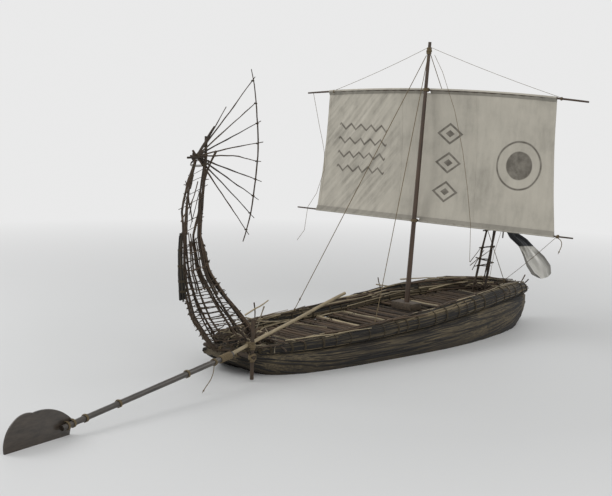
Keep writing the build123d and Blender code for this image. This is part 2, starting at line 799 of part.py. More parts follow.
# Export
pieces = {
    "hull_bundle_port": hull_bundle_port.part,
    "hull_bundle_starboard": hull_bundle_starboard.part,
    "gunwale_port": gunwale_port.part,
    "gunwale_starboard": gunwale_starboard.part,
    "rail_port": rail_port.part,
    "rail_starboard": rail_starboard.part,
    "stern_trunk": stern_trunk.part,
    "tail_reeds": tail_reeds.part,
    "fan": fan.part,
    "fan_rim": fan_rim.part,
    "mast": mast,
    "mast_step": mast_step.part,
    "masthead": masthead,
    "yard": yard.part,
    "boom": boom,
    "sail": sail.part,
    "oar_pole": oar_pole,
    "oar_loom": oar_loom.part,
    "oar_splice": oar_splice,
    "oar_blade": oar_blade.part,
    "oar_grommet": oar_grommet.part,
    "oar_post": oar_post.part,
    "stern_beam": stern_beam.part,
    "bow_frame": bow_frame.part,
    "flag_staff": flag_staff,
    "flag": flag.part,
    "lanyard_hitch": lanyard_hitch,
    "lanyard": lanyard,
    "tail_hitch": tail_hitch,
    "boom_tail": boom_tail,
    **deck_parts,
    **stay_parts,
    **parrel_parts,
}
for name, part in pieces.items():
    save(part, name)
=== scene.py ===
"""Looks of the reed boat: reeds, branches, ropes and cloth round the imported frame.

The file is laid out as an add-on and run as a script. All sizes are in metres, in the
frame's own axes: +X to the bow, +Y to port, +Z up, with the origin at the waterline.
"""

import json
import random
from math import cos, pi, radians, sin, sqrt

import bpy
from bpy.props import FloatProperty, FloatVectorProperty, IntProperty, PointerProperty
from mathutils import Matrix, Vector, noise


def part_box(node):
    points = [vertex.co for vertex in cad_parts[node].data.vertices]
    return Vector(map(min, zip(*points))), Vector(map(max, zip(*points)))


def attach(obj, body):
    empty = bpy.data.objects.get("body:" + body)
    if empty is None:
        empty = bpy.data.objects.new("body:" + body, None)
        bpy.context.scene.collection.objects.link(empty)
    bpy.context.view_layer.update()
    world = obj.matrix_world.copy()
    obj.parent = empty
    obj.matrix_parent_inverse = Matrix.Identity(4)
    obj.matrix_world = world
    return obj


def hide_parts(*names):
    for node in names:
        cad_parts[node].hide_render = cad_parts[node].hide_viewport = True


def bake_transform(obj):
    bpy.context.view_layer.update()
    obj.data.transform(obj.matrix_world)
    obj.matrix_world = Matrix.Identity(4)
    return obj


bl_info = {
    "name": "Reed boat looks",
    "version": (1, 0, 0),
    "blender": (4, 5, 0),
    "location": "View3D > Sidebar > Reed boat",
    "description": "Dresses the frame of a reed-bundle sailing boat",
    "category": "Object",
}

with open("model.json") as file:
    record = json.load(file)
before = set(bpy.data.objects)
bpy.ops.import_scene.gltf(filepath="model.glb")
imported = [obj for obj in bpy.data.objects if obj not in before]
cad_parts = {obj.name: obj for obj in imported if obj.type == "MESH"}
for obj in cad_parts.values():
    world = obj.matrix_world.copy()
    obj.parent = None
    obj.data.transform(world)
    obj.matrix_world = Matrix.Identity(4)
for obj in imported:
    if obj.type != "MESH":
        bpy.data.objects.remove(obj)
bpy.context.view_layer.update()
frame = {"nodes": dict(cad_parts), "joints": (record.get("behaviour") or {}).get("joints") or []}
NODES = frame["nodes"]
UP = Vector((0, 0, 1))


def linear(hex_colour):
    """An sRGB hex value as the linear colour that shaders use."""
    channels = [int(hex_colour[place:place + 2], 16) / 255 for place in (1, 3, 5)]
    return [c / 12.92 if c <= 0.04045 else ((c + 0.055) / 1.055) ** 2.4 for c in channels]


# Camera: where the boat is seen from, and how it heels in that view
CAMERA_PLACE = (-12.552, -11.407, 3.571)
CAMERA_LENS_MM = 73.53
CAMERA_HEADING = 43.7
CAMERA_PITCH = 5.98
HEEL = 2.4

# Gunwale bundles, as in the frame: x, z of the top, radius
GUNWALE = [
    (-2.69, 0.366, 0.052),
    (-2.0, 0.40, 0.062),
    (-1.0, 0.45, 0.076),
    (0.0, 0.52, 0.090),
    (1.0, 0.61, 0.100),
    (1.8, 0.65, 0.100),
    (2.6, 0.62, 0.084),
    (3.02, 0.545, 0.058),
]

# Stern trunk, as in the frame: aft edge x and z, fore edge x and z, half width
TRUNK = [
    (-3.0, 0.25, -2.43, 0.30, 0.335),
    (-3.17, 0.44, -2.54, 0.50, 0.32),
    (-3.37, 0.71, -2.74, 0.73, 0.275),
    (-3.5, 1.04, -2.99, 1.0, 0.21),
    (-3.54, 1.3, -3.2, 1.27, 0.16),
    (-3.56, 1.66, -3.32, 1.65, 0.125),
    (-3.59, 2.02, -3.305, 2.0, 0.12),
    (-3.52, 2.32, -3.275, 2.3, 0.105),
    (-3.405, 2.59, -3.252, 2.59, 0.08),
]
TRUNK_POLES = [
    (0, 8, 0.017),
    (45, 5, 0.015),
    (90, 8, 0.014),
    (135, 5, 0.013),
    (180, 8, 0.016),
    (225, 5, 0.013),
    (270, 8, 0.014),
    (315, 5, 0.015),
]
FORE_POLE_TOP = (-3.25, 0, 2.87)
TRUNK_HORN = [(-3.262, 0.066, 2.1), (-3.205, 0.06, 2.37), (-3.15, 0.055, 2.52), (-3.05, 0.05, 2.69)]
LOWER_HOOPS = [
    (0, 0.45), (0, 0.8), (1, 0.05), (1, 0.33), (1, 0.6), (1, 0.85), (2, 0.1), (2, 0.33), (2, 0.55),
    (2, 0.8), (3, 0.05), (3, 0.33), (3, 0.6), (4, 0.2), (4, 0.75),
]
UPPER_HOOPS = [(5, 0.55), (6, 0.5), (7, 0.35)]
CROSS_STICKS = [
    ((-3.56, 2.24), (-3.42, 1.87), 0.010),
    ((-3.56, 2.24), (-3.49, 1.72), 0.008),
    ((-3.65, 1.89), (-3.40, 2.17), 0.007),
    ((-3.52, 2.27), (-3.41, 2.42), 0.009),
    ((-3.41, 2.35), (-3.47, 1.95), 0.007),
    ((-3.33, 2.42), (-3.45, 1.80), 0.006),
    ((-3.60, 1.55), (-3.27, 1.72), 0.006),
    ((-3.59, 1.28), (-3.22, 1.47), 0.007),
]
TAIL_REEDS = [(-3.606, 1.73, 0.018), (-3.612, 1.5, 0.021), (-3.59, 1.25, 0.034), (-3.56, 1.03, 0.042)]

# Fan head, as in the frame
FAN_HUB = (-3.41, 2.64)
FAN_SIDE = -0.0303
FAN_RIM_SIDE = -0.0502
FAN_RIM = [(-2.616, 3.665), (-2.482, 2.694), (-2.682, 1.593)]
RIB_TIPS = [
    (-2.572, 3.535), (-2.56, 3.235), (-2.476, 3.026), (-2.436, 2.784), (-2.462, 2.56), (-2.446, 2.327),
    (-2.48, 2.114), (-2.538, 1.903), (-2.613, 1.711),
]

# Rig, as in the frame, measured from the datum: across to starboard, and up along the mast
MAST_JOINT = next(joint for joint in frame["joints"] if joint["name"] == "yard_brace")
RIG_DATUM = Vector(MAST_JOINT["pos_m"])
MAST_UP = Vector(MAST_JOINT["axis"]).normalized()
BRACE_ANGLE = 13.9
RIG_AHEAD = 0.06
YARD = [(-1.94, 2.3), (0.0, 2.437), (2.32, 2.39)]
YARD_RADIUS = 0.017
BOOM = (-1.96, 2.29, 0.625)
BOOM_RADIUS = 0.014
SAIL_HEAD = (-1.58, 1.885)
SAIL_FOOT = (-1.64, 2.03)
MAST_FOOT = -0.634
MAST_TIP = 3.086
MAST_RADIUS = 0.0375
MAST_TIP_RADIUS = 0.0225
MASTHEAD = 2.966

# Lines on the rig, which the frame leaves out: across and up, as the rig is measured
SLACK_LINE = [
    (-1.853, 2.312), (-1.806, 2.16), (-1.698, 1.817), (-1.629, 1.618), (-1.58, 1.451), (-1.56, 1.2),
    (-1.66, 0.85), (-1.79, 0.64), (-1.806, 0.415), (-1.815, 0.296), (-1.928, 0.135),
]
SAIL_LINE = [
    (0.08, 2.914), (0.225, 2.688), (0.457, 2.182), (0.631, 1.65), (0.76, 1.117), (0.852, 0.649),
    (0.872, 0.379), (0.888, 0.148),
]

# Steering oar, as in the frame
OAR_EYE = Vector((-2.962, -0.5, 0.427))
OAR_HEADING = 193.07
POLE_SLOPE = 9.0
LOOM_SLOPE = 5.43
POLE_INBOARD = 2.2
KINK = 0.46
POLE_PAST_KINK = 0.14
LOOM_SOCKET = 0.14
LOOM_RADIUS = 0.035
LOOM_TIP_RADIUS = 0.031
LOOM_LENGTH = 2.8
LOOM_KNOTS = (0.7, 1.83, 2.33)
POLE_RADIUS = 0.0225
POST_RADIUS = 0.024
BLADE_OFFSET = 0.022
LANYARD_AT = 0.205
CORD_RADIUS = 0.005
SEAT_GAP = 0.0003
TAIL_AT = 2.08

# Routes of the two free rope ends, the same points as the frame's
LANYARD = [
    (0, 0), (0.006, -0.052), (0.024, -0.104), (0.060, -0.152), (0.108, -0.190), (0.158, -0.224),
    (0.196, -0.262),
]
BOOM_TAIL = [
    (0, 0), (0.032, -0.014), (0.054, -0.042), (0.062, -0.078), (0.056, -0.116), (0.042, -0.152),
    (0.030, -0.190),
]


# Canvas: its thread is drawn coarser than a real one, so that it shows
THREAD = 0.007
# Length after which a wave texture of scale 1 repeats
TEXTURE_PERIOD = 0.314

# Painted figures, in metres across the sail and up it, as the rig is measured
WAVE_LENGTH = 0.16
WAVE_STROKE = 0.032
WAVE_SPAN = (-1.38, -0.62)
WAVE_LINES = [1.22, 1.42, 1.62, 1.82]
LOZENGE_ACROSS = 0.36
LOZENGE_SIZE = (0.4, 0.3)
LOZENGES = [1.06, 1.46, 1.86]
DISC_PLACE = (1.42, 1.5)

# Flag: stripes of its hoist, and stripes and painted shade of its fly, as shares of the cloth, and the share
# over which they blend
HOIST_STRIPES = [
    (0.0, linear("#2c2e31")), (0.40, linear("#2c2e31")), (0.41, linear("#b9b7b0")), (0.45, linear("#c4c2bb")),
]
# The fly's grey upper band, up to 0.22, and its dark grey lower band, from 0.84, are painted shade of the
# flag's folds.
FLY_STRIPES_AND_FOLD_SHADE = [
    (0.0, linear("#7b7974")), (0.22, linear("#96948e")), (0.30, linear("#d9d7d1")), (0.80, linear("#d9d7d1")),
    (0.84, linear("#6f6d68")), (1.0, linear("#85837d")),
]
STRIPE_BLEND = 0.06

# Upper and lower edge of the flag, out from the staff's axis and up it from its lower end
FLAG_UPPER = [
    (0.0103, 0.601), (0.09, 0.34), (0.18, 0.115), (0.373, 0.02), (0.508, -0.087), (0.676, -0.215),
    (0.780, -0.340), (0.800, -0.450),
]
FLAG_LOWER = [
    (0.0103, 0.201), (0.039, 0.124), (0.12, 0.012), (0.262, -0.103), (0.337, -0.238), (0.398, -0.383),
    (0.488, -0.500), (0.600, -0.540),
]
FLAG_EDGES = [[Vector(point) for point in edge] for edge in (FLAG_UPPER, FLAG_LOWER)]

# Reeds are soaked below the lower of these heights and dry above the upper one
WET_FOOT = 0.03
WET_TOP = 0.16

# Tone of the room and the far floor in the camera's view
BACKGROUND = 0.82

# The slot of each finish that rods are given
SLOTS = {
    "Dried reed": "reed", "Branch with bark": "pole", "Peeled branch": "pale_pole", "Oiled spar": "mast_wood",
    "Soaked wood": "wet_wood", "Hemp rope": "rope", "Rope in painted shade": "rope",
}


class ReedSettings(bpy.types.PropertyGroup):
    """Reeds of the hull and its gunwales"""

    width: FloatProperty(name="Reed width", description="Width of one reed", default=0.027, unit="LENGTH")
    rows: IntProperty(name="Rows", description="Reeds side by side round one main bundle", default=74)
    lashing_pitch: FloatProperty(
        name="Lashing pitch", description="Between the bundles' lashings", default=0.46, unit="LENGTH"
    )
    rope: FloatProperty(
        name="Lashing rope", description="Radius of the lashing rope", default=0.0052, unit="LENGTH"
    )
    # The weathered colour is near black, darker than old reeds are: it is the reeds' own colour and painted
    # shade of the hull's sides.
    dark: FloatVectorProperty(
        name="Weathered", description="Colour of the old reeds", subtype="COLOR",
        default=linear("#16120e"),
    )
    pale: FloatVectorProperty(
        name="Dry", description="Colour of the driest reeds", subtype="COLOR", default=linear("#75684f"),
    )


class TimberSettings(bpy.types.PropertyGroup):
    """Branches, poles and spars"""

    bark: FloatVectorProperty(
        name="Bark", description="Colour of the bark", subtype="COLOR", default=linear("#33291f")
    )
    peeled: FloatVectorProperty(
        name="Peeled wood", description="Colour of the peeled branches", subtype="COLOR",
        default=linear("#ab9c7e"),
    )
    spar: FloatVectorProperty(
        name="Spar", description="Colour of the oiled mast and spars", subtype="COLOR",
        default=linear("#3a2c20"),
    )
    wet: FloatVectorProperty(
        name="Wet wood", description="Colour of the soaked oar loom and blade", subtype="COLOR",
        default=linear("#2e2822"),
    )
    crook: FloatProperty(
        name="Crook", description="How far a branch strays from straight", default=0.009, unit="LENGTH",
    )


class RopeSettings(bpy.types.PropertyGroup):
    """Ropes and lashings"""

    colour: FloatVectorProperty(
        name="Hemp", description="Colour of the hemp", subtype="COLOR", default=linear("#75664c")
    )
    lay: FloatProperty(
        name="Lay", description="Length of one turn of a strand", default=0.036, unit="LENGTH"
    )


class ClothSettings(bpy.types.PropertyGroup):
    """Sail and flag"""

    canvas: FloatVectorProperty(
        name="Canvas", description="Colour of the unbleached canvas", subtype="COLOR",
        default=linear("#b0ab9f"),
    )
    paint: FloatVectorProperty(
        name="Paint", description="Colour of the painted figures", subtype="COLOR",
        default=linear("#57524a"),
    )
    belly: FloatProperty(
        name="Belly", description="How far the sail fills ahead of its spars", default=0.085,
        unit="LENGTH",
    )
    boom_sleeve: FloatProperty(
        name="Boom sleeve", description="Depth of the sleeve that holds the boom", default=0.06,
        unit="LENGTH",
    )
    yard_sleeve: FloatProperty(
        name="Yard sleeve", description="Depth of the sleeve that holds the yard", default=0.048,
        unit="LENGTH",
    )


class StudioSettings(bpy.types.PropertyGroup):
    """Floor and light"""

    floor: FloatVectorProperty(
        name="Floor", description="Colour of the floor", subtype="COLOR", default=linear("#cfd0d0")
    )
    strength: FloatProperty(name="Light", description="Strength of the room's light", default=0.62)


def only(piece):
    """Select one object and nothing else."""
    bpy.ops.object.select_all(action="DESELECT")
    piece.select_set(True)
    bpy.context.view_layer.objects.active = piece


def dress(piece, body, slot, *nodes):
    """Let a finished piece ride on its body and stand for its nodes. The slot is not used."""
    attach(piece, body)
    if nodes:
        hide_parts(*nodes)
    return piece


def between(rows, x):
    """Read a table of rows at x, straight from one row to the next."""
    x = min(max(x, rows[0][0]), rows[-1][0])
    for low, high in zip(rows, rows[1:]):
        if x <= high[0]:
            share = (x - low[0]) / (high[0] - low[0])
            return [a + (b - a) * share for a, b in zip(low[1:], high[1:])]
    return list(rows[-1][1:])


def shares(count):
    """Even shares from 0 to 1."""
    return [index / count for index in range(count + 1)]


def run_length(points):
    """Length of a route from point to point."""
    return sum((b - a).length for a, b in zip(points, points[1:]))


def rods(name, routes, finish, roundness=1, merge=0.0002):
    """Round rods as one mesh. Each route has its points, its radii and its tone from 0 to 1.

    The UV map runs along a rod in metres, and once round it; the tone is an attribute.
    """
    curve = bpy.data.curves.new(name, "CURVE")
    curve.dimensions = "3D"
    curve.bevel_depth = 1.0
    curve.bevel_resolution = roundness
    curve.use_fill_caps = True
    curve.materials.append(finish)
    for points, radii, _ in routes:
        spline = curve.splines.new("POLY")
        spline.points.add(len(points) - 1)
        for control, place, radius in zip(spline.points, points, radii):
            control.co = (*place, 1.0)
            control.radius = radius
    piece = bpy.data.objects.new(name, curve)
    bpy.context.collection.objects.link(piece)
    only(piece)
    bpy.ops.object.convert(target="MESH")
    piece = bpy.context.object
    ring = 4 + 2 * roundness
    end_faces = 2 * (ring - 2)
    tones, stretch, shift = [], [], []
    for _, _, tone in reversed(routes):
        tones += [tone] * end_faces
        stretch += [1.0] * (3 * end_faces)
        shift += [tone] * (3 * end_faces)
    for points, _, tone in routes:
        faces = (len(points) - 1) * ring
        tones += [tone] * faces
        stretch += [run_length(points)] * (4 * faces)
        shift += [tone * 40] * (4 * faces)
    mesh = piece.data
    attribute = mesh.attributes.new("tone", "FLOAT", "FACE")
    attribute.data.foreach_set("value", tones)
    uv = mesh.uv_layers[0].data
    places = [0.0] * (2 * len(uv))
    uv.foreach_get("uv", places)
    places[0::2] = [u * length + start for u, length, start in zip(places[0::2], stretch, shift)]
    uv.foreach_set("uv", places)
    bpy.ops.object.mode_set(mode="EDIT")
    bpy.ops.mesh.select_all(action="SELECT")
    bpy.ops.mesh.remove_doubles(threshold=merge)
    bpy.ops.object.mode_set(mode="OBJECT")
    bpy.ops.object.shade_smooth_by_angle(angle=radians(50))
    return piece


def branch(rng, points, radius, tip_radius, crook, tone, step=0.16, knots=0.12):
    """A crooked branch along a route: it strays a little at each step and thickens at knots."""
    total = run_length(points)
    count = max(3, int(total / step) + 1)
    path, radii = [], []
    drift = Vector((0, 0, 0))
    for share in shares(count):
        place = along(points, share * total)
        ease = min(1.0, 4 * share, 4 * (1 - share))
        drift = drift * 0.6 + Vector([rng.uniform(-crook, crook) for _ in range(3)])
        path.append(place + drift * ease)
        swell = 1 + (rng.uniform(0.1, 0.35) if rng.random() < knots else rng.uniform(-0.06, 0.06))
        radii.append((radius + (tip_radius - radius) * share) * swell)
    return path, radii, tone


def along(points, distance):
    """Point at a distance along a route."""
    for a, b in zip(points, points[1:]):
        length = (b - a).length
        if distance <= length or b is points[-1]:
            return a.lerp(b, distance / length if length else 0)
        distance -= length
    return points[-1]


def turns(centre, axis, radius, count, pitch, rope, tone=0.5, start=0.0, steps=9):
    """Rope turns wound round an axis, as a route for rods."""
    axis = axis.normalized()
    side = axis.orthogonal().normalized()
    other = axis.cross(side)
    path = []
    for index in range(int(count * steps) + 1):
        angle = start + 2 * pi * index / steps
        rise = pitch * (index / steps - count / 2)
        path.append(centre + axis * rise + (side * cos(angle) + other * sin(angle)) * radius)
    return path, [rope] * len(path), tone


def cross_lashing(centre, first, second, radius, rope, tone=0.5):
    """Two sets of rope turns that bind two crossing sticks."""
    first, second = first.normalized(), second.normalized()
    wraps = []
    for axis in (first + second, first - second):
        if axis.length > 0.2:
            wraps.append(turns(centre, axis, radius, 2, 1.9 * rope, rope, tone))
    return wraps


# Materials


def fill(node, settings):
    """Give a node its values, its colour stops, and links from the sockets or nodes that are named."""
    for key, value in settings.items():
        source = value.outputs[0] if isinstance(value, bpy.types.Node) else value
        if isinstance(source, bpy.types.NodeSocket):
            node.id_data.links.new(source, node.inputs[key])
        elif key == "stops":
            elements = node.color_ramp.elements
            while len(elements) < len(value):
                elements.new(0.5)
            for element, (place, colour) in zip(elements, value):
                element.position = place
                element.color = (*colour[:3], 1)
        elif isinstance(key, int) or key in node.inputs:
            node.inputs[key].default_value = value
        else:
            setattr(node, key, value)
    return node


def add(tree, kind, settings=None):
    """Add one node with its settings and links."""
    return fill(tree.nodes.new(f"ShaderNode{kind}"), settings or {})


def start_material(name):
    """A new material with its surface shader."""
    material = bpy.data.materials.new(name)
    material.use_nodes = True
    tree = material.node_tree
    return material, tree, tree.nodes["Principled BSDF"]


def shaded(colour, factor):
    """A colour made darker or paler."""
    return [min(1.0, channel * factor) for channel in colour[:3]]


def fibre(tree, coordinates, scale, detail=4.0):
    """Noise drawn out along the fibres."""
    mapping = add(tree, "Mapping", {"Scale": scale, "Vector": coordinates})
    return add(tree, "TexNoise", {"Scale": 1.0, "Detail": detail, "Roughness": 0.62, "Vector": mapping})


def grained(name, dark, pale, scale, roughness, relief, source="UV", spread=0.55):
    """A fibrous surface: streaks along the fibres, slow patches, and a tone for each stick."""
    material, tree, surface = start_material(name)
    coordinates = add(tree, "TexCoord")
    streaks = fibre(tree, coordinates.outputs[source], scale)
    patches = fibre(tree, coordinates.outputs["Object"], (2.3, 2.3, 2.3), 2.0)
    level = add(tree, "Math", {"operation": "MULTIPLY_ADD", 0: patches, 1: 0.35, 2: streaks})
    if source == "UV":
        tone = add(tree, "Attribute", {"attribute_name": "tone"}).outputs["Fac"]
        level = add(tree, "Math", {"operation": "MULTIPLY_ADD", 0: tone, 1: spread, 2: level})
        level = add(tree, "Math", {"operation": "SUBTRACT", 0: level, 1: spread / 2})
    middle = [(a * 2 + b) / 3 for a, b in zip(dark[:3], pale[:3])]
    stops = [(0.38, shaded(dark, 0.6)), (0.66, middle), (1.0, pale)]
    colour = add(tree, "ValToRGB", {"stops": stops, "Fac": level})
    rough = add(tree, "MapRange", {"To Min": roughness - 0.1, "To Max": roughness + 0.12, "Value": streaks})
    bump = add(tree, "Bump", {"Strength": 0.7, "Distance": relief, "Height": streaks})
    fill(surface, {"Base Color": colour, "Roughness": rough, "Normal": bump})
    return material


def reed_material(settings, name="Dried reed", scale=(3.0, 5.0, 1.0), source="UV"):
    """Dried reeds: matt, fibrous and grey-brown, almost black where they are wet."""
    material = grained(name, settings.dark, settings.pale, scale, 0.78, 0.0016, source, spread=0.9)
    tree = material.node_tree
    surface = tree.nodes["Principled BSDF"]
    dry = surface.inputs["Base Color"].links[0].from_socket
    height = add(tree, "SeparateXYZ", {"Vector": add(tree, "TexCoord").outputs["Object"]}).outputs["Z"]
    wet = add(tree, "MapRange", {"From Min": WET_TOP, "From Max": WET_FOOT, "Value": height})
    soaked = add(tree, "Mix", {
        "data_type": "RGBA", "blend_type": "MULTIPLY", 0: wet, 6: dry, 7: (0.4, 0.38, 0.36, 1)
    })
    fill(surface, {"Base Color": soaked.outputs[2]})
    return material


def bark_material(settings):
    """Branches with their bark on: dull, ridged and dark brown."""
    return grained("Branch with bark", settings.bark, shaded(settings.bark, 3.2), (9.0, 4.0, 1.0), 0.8, 0.002)


def peeled_material(settings):
    """Peeled branches: smooth pale wood with dark checks along the grain."""
    checks = shaded(settings.peeled, 0.35)
    return grained("Peeled branch", checks, settings.peeled, (5.0, 5.0, 1.0), 0.6, 0.0008)


def spar_material(settings):
    """Oiled spar: close-grained wood that has darkened and keeps a low sheen."""
    return grained("Oiled spar", settings.spar, shaded(settings.spar, 2.2), (3.0, 7.0, 1.0), 0.48, 0.0006)


def wet_material(settings):
    """Soaked wood: nearly black, with a wet gloss on its grain."""
    material = grained("Soaked wood", settings.wet, shaded(settings.wet, 2.4), (4.0, 6.0, 1.0), 0.34, 0.0008)
    fill(material.node_tree.nodes["Principled BSDF"], {"Coat Weight": 0.25})
    return material


def plank_material(settings):
    """Sawn board of the oar blade: soaked, its grain running along the board."""
    pale = shaded(settings.wet, 2.6)
    grain = (3.0, 26.0, 30.0)
    material = grained("Soaked board", settings.wet, pale, grain, 0.36, 0.001, "Object")
    turn = oar_frame()[0].to_2d().angle_signed(Vector((1, 0)))
    for node in material.node_tree.nodes:
        if node.bl_idname == "ShaderNodeMapping" and node.inputs["Scale"].default_value[1] == grain[1]:
            fill(node, {"Rotation": (0, 0, turn)})
    fill(material.node_tree.nodes["Principled BSDF"], {"Coat Weight": 0.2})
    return material


def block_material():
    """Hewn block of the mast step: dull, weathered, with its grain along it."""
    return grained("Hewn block", linear("#2c241c"), linear("#5f5140"), (4, 40, 40), 0.7, 0.002, "Object")


def rope_material(settings, name="Hemp rope", source_length=1.0, wear_and_shade=1.0):
    """Three-strand hemp: matt and hairy, with painted shade in the grooves between its strands, and darker as
    a whole where the rope is given painted shade.
    """
    hemp = shaded(settings.colour, wear_and_shade)
    material, tree, surface = start_material(name)
    coordinates = add(tree, "TexCoord")
    twist = add(tree, "VectorMath", {
        "operation": "DOT_PRODUCT", 0: coordinates.outputs["UV"], 1: (source_length / settings.lay, 3.0, 0)
    })
    strand = add(tree, "Math", {"operation": "PINGPONG", 0: twist.outputs["Value"], 1: 0.5})
    hair = fibre(tree, coordinates.outputs["Object"], (160, 160, 160), 3.0)
    height = add(tree, "Math", {"operation": "MULTIPLY_ADD", 0: hair, 1: 0.25, 2: strand})
    # Low heights, in the grooves between the strands, take a darker colour: painted shade.
    stops = [(0.05, shaded(hemp, 0.32)), (0.3, shaded(hemp, 0.8)), (0.6, hemp)]
    colour = add(tree, "ValToRGB", {"stops": stops, "Fac": height})
    bump = add(tree, "Bump", {"Strength": 0.9, "Distance": 0.0022, "Height": height})
    fill(surface, {"Base Color": colour, "Roughness": 0.88, "Normal": bump})
    return material


def canvas_material(settings, name="Cotton canvas", shade=1.0):
    """Unbleached cotton canvas: plain weave, matt, a little stained, with painted shade and highlight along
    its creases, and painted figures.
    """
    # A shade below one darkens the canvas as painted shade.
    canvas = shaded(settings.canvas, shade)
    material, tree, surface = start_material(name)
    coordinates = add(tree, "TexCoord").outputs["UV"]
    weave = []
    for direction in ("X", "Y"):
        wave = add(tree, "TexWave", {
            "bands_direction": direction, "Scale": TEXTURE_PERIOD / THREAD, "Distortion": 0.6, "Detail": 1.0,
            "Vector": coordinates,
        })
        weave.append(wave.outputs["Fac"])
    cloth = add(tree, "Math", {"operation": "MULTIPLY", 0: weave[0], 1: weave[1]})
    stains = fibre(tree, coordinates, (1.3, 1.3, 1.3), 5.0)
    # The creases noise and the slanting streaks darken and lighten the colour as painted shade and highlight;
    # the stains are the cloth's own.
    creases = fibre(tree, coordinates, (14.0, 3.0, 1.0), 4.0)
    level = add(tree, "Math", {"operation": "MULTIPLY_ADD", 0: creases, 1: 0.4, 2: stains})
    level = add(tree, "Math", {"operation": "ADD", 0: level, 1: painted_crease_shade(tree, coordinates)})
    stops = [(0.40, shaded(canvas, 0.66)), (0.70, canvas), (1.0, shaded(canvas, 1.16))]
    colour = add(tree, "ValToRGB", {"stops": stops, "Fac": level})
    wear_and_shade = add(tree, "MapRange", {
        "From Min": 0.3, "From Max": 0.62, "To Min": 0.62, "To Max": 0.95,
        "Value": fibre(tree, coordinates, (9.0, 9.0, 1.0), 6.0),
    })
    amount = add(tree, "Math", {"operation": "MULTIPLY", 0: painted_figures(tree, coordinates), 1: wear_and_shade})
    painted = add(tree, "Mix", {"data_type": "RGBA", 0: amount, 6: colour, 7: (*settings.paint, 1)})
    bump = add(tree, "Bump", {"Strength": 0.35, "Distance": 0.001, "Height": cloth})
    fill(surface, {
        "Base Color": painted.outputs[2], "Roughness": 0.9, "Sheen Weight": 0.15, "Normal": bump
    })
    return material


def painted_crease_shade(tree, coordinates):
    """Painted shade and highlight: dark and pale slanting streaks in the creased left cloth, and none beyond
    it.
    """
    turned = add(tree, "Mapping", {
        "vector_type": "TEXTURE", "Rotation": (0, 0, radians(52)), "Scale": (0.6, 0.06, 1.0),
        "Vector": coordinates,
    })
    streaks = add(tree, "TexNoise", {"Scale": 1.0, "Detail": 3.0, "Roughness": 0.6, "Vector": turned})
    across = add(tree, "SeparateXYZ", {"Vector": coordinates}).outputs["X"]
    left = add(tree, "MapRange", {"From Min": -0.35, "From Max": -0.6, "To Max": 1.1, "Value": across})
    level = add(tree, "Math", {"operation": "SUBTRACT", 0: streaks, 1: 0.5})
    return add(tree, "Math", {"operation": "MULTIPLY", 0: level, 1: left})


def painted_figures(tree, coordinates):
    """Hand-painted figures: wave lines, a column of lozenges and a ringed disc."""
    split = add(tree, "SeparateXYZ", {"Vector": coordinates})
    across, height = split.outputs["X"], split.outputs["Y"]

    def inside(value, edge, soft=0.006):
        """One inside the edge and nothing beyond it."""
        return add(tree, "MapRange", {"From Min": edge + soft, "From Max": edge - soft, "Value": value})

    def apart(value, middle):
        """How far a value lies from a middle one."""
        offset = add(tree, "Math", {"operation": "SUBTRACT", 0: value, 1: middle})
        return add(tree, "Math", {"operation": "ABSOLUTE", 0: offset})

    def ring(value, outer, inner, soft=0.006):
        """One between two edges, and nothing inside or beyond them."""
        edges = inside(value, outer, soft), inside(value, inner, soft)
        return add(tree, "Math", {"operation": "SUBTRACT", 0: edges[0], 1: edges[1]})

    figures = []
    low, high = WAVE_SPAN
    for line in WAVE_LINES:
        zigzag = add(tree, "Math", {"operation": "PINGPONG", 0: across, 1: WAVE_LENGTH / 2})
        above = add(tree, "Math", {"operation": "SUBTRACT", 0: height, 1: line})
        stroke = inside(apart(above, zigzag), WAVE_STROKE / 2)
        span = inside(apart(across, (low + high) / 2), (high - low) / 2)
        figures.append(add(tree, "Math", {"operation": "MULTIPLY", 0: stroke, 1: span}))
    for middle in LOZENGES:
        side = add(tree, "Math", {
            "operation": "DIVIDE", 0: apart(across, LOZENGE_ACROSS), 1: LOZENGE_SIZE[0] / 2
        })
        rise = add(tree, "Math", {"operation": "DIVIDE", 0: apart(height, middle), 1: LOZENGE_SIZE[1] / 2})
        edge = add(tree, "Math", {"operation": "ADD", 0: side, 1: rise})
        figures += [ring(edge, 1.0, 0.76, 0.02), inside(edge, 0.34, 0.02)]
    reach = add(tree, "VectorMath", {"operation": "DISTANCE", 0: coordinates, 1: (*DISC_PLACE, 0)})
    figures += [ring(reach.outputs["Value"], 0.33, 0.305), inside(reach.outputs["Value"], 0.19)]
    total = figures[0]
    for figure in figures[1:]:
        total = add(tree, "Math", {"operation": "MAXIMUM", 0: total, 1: figure})
    return total


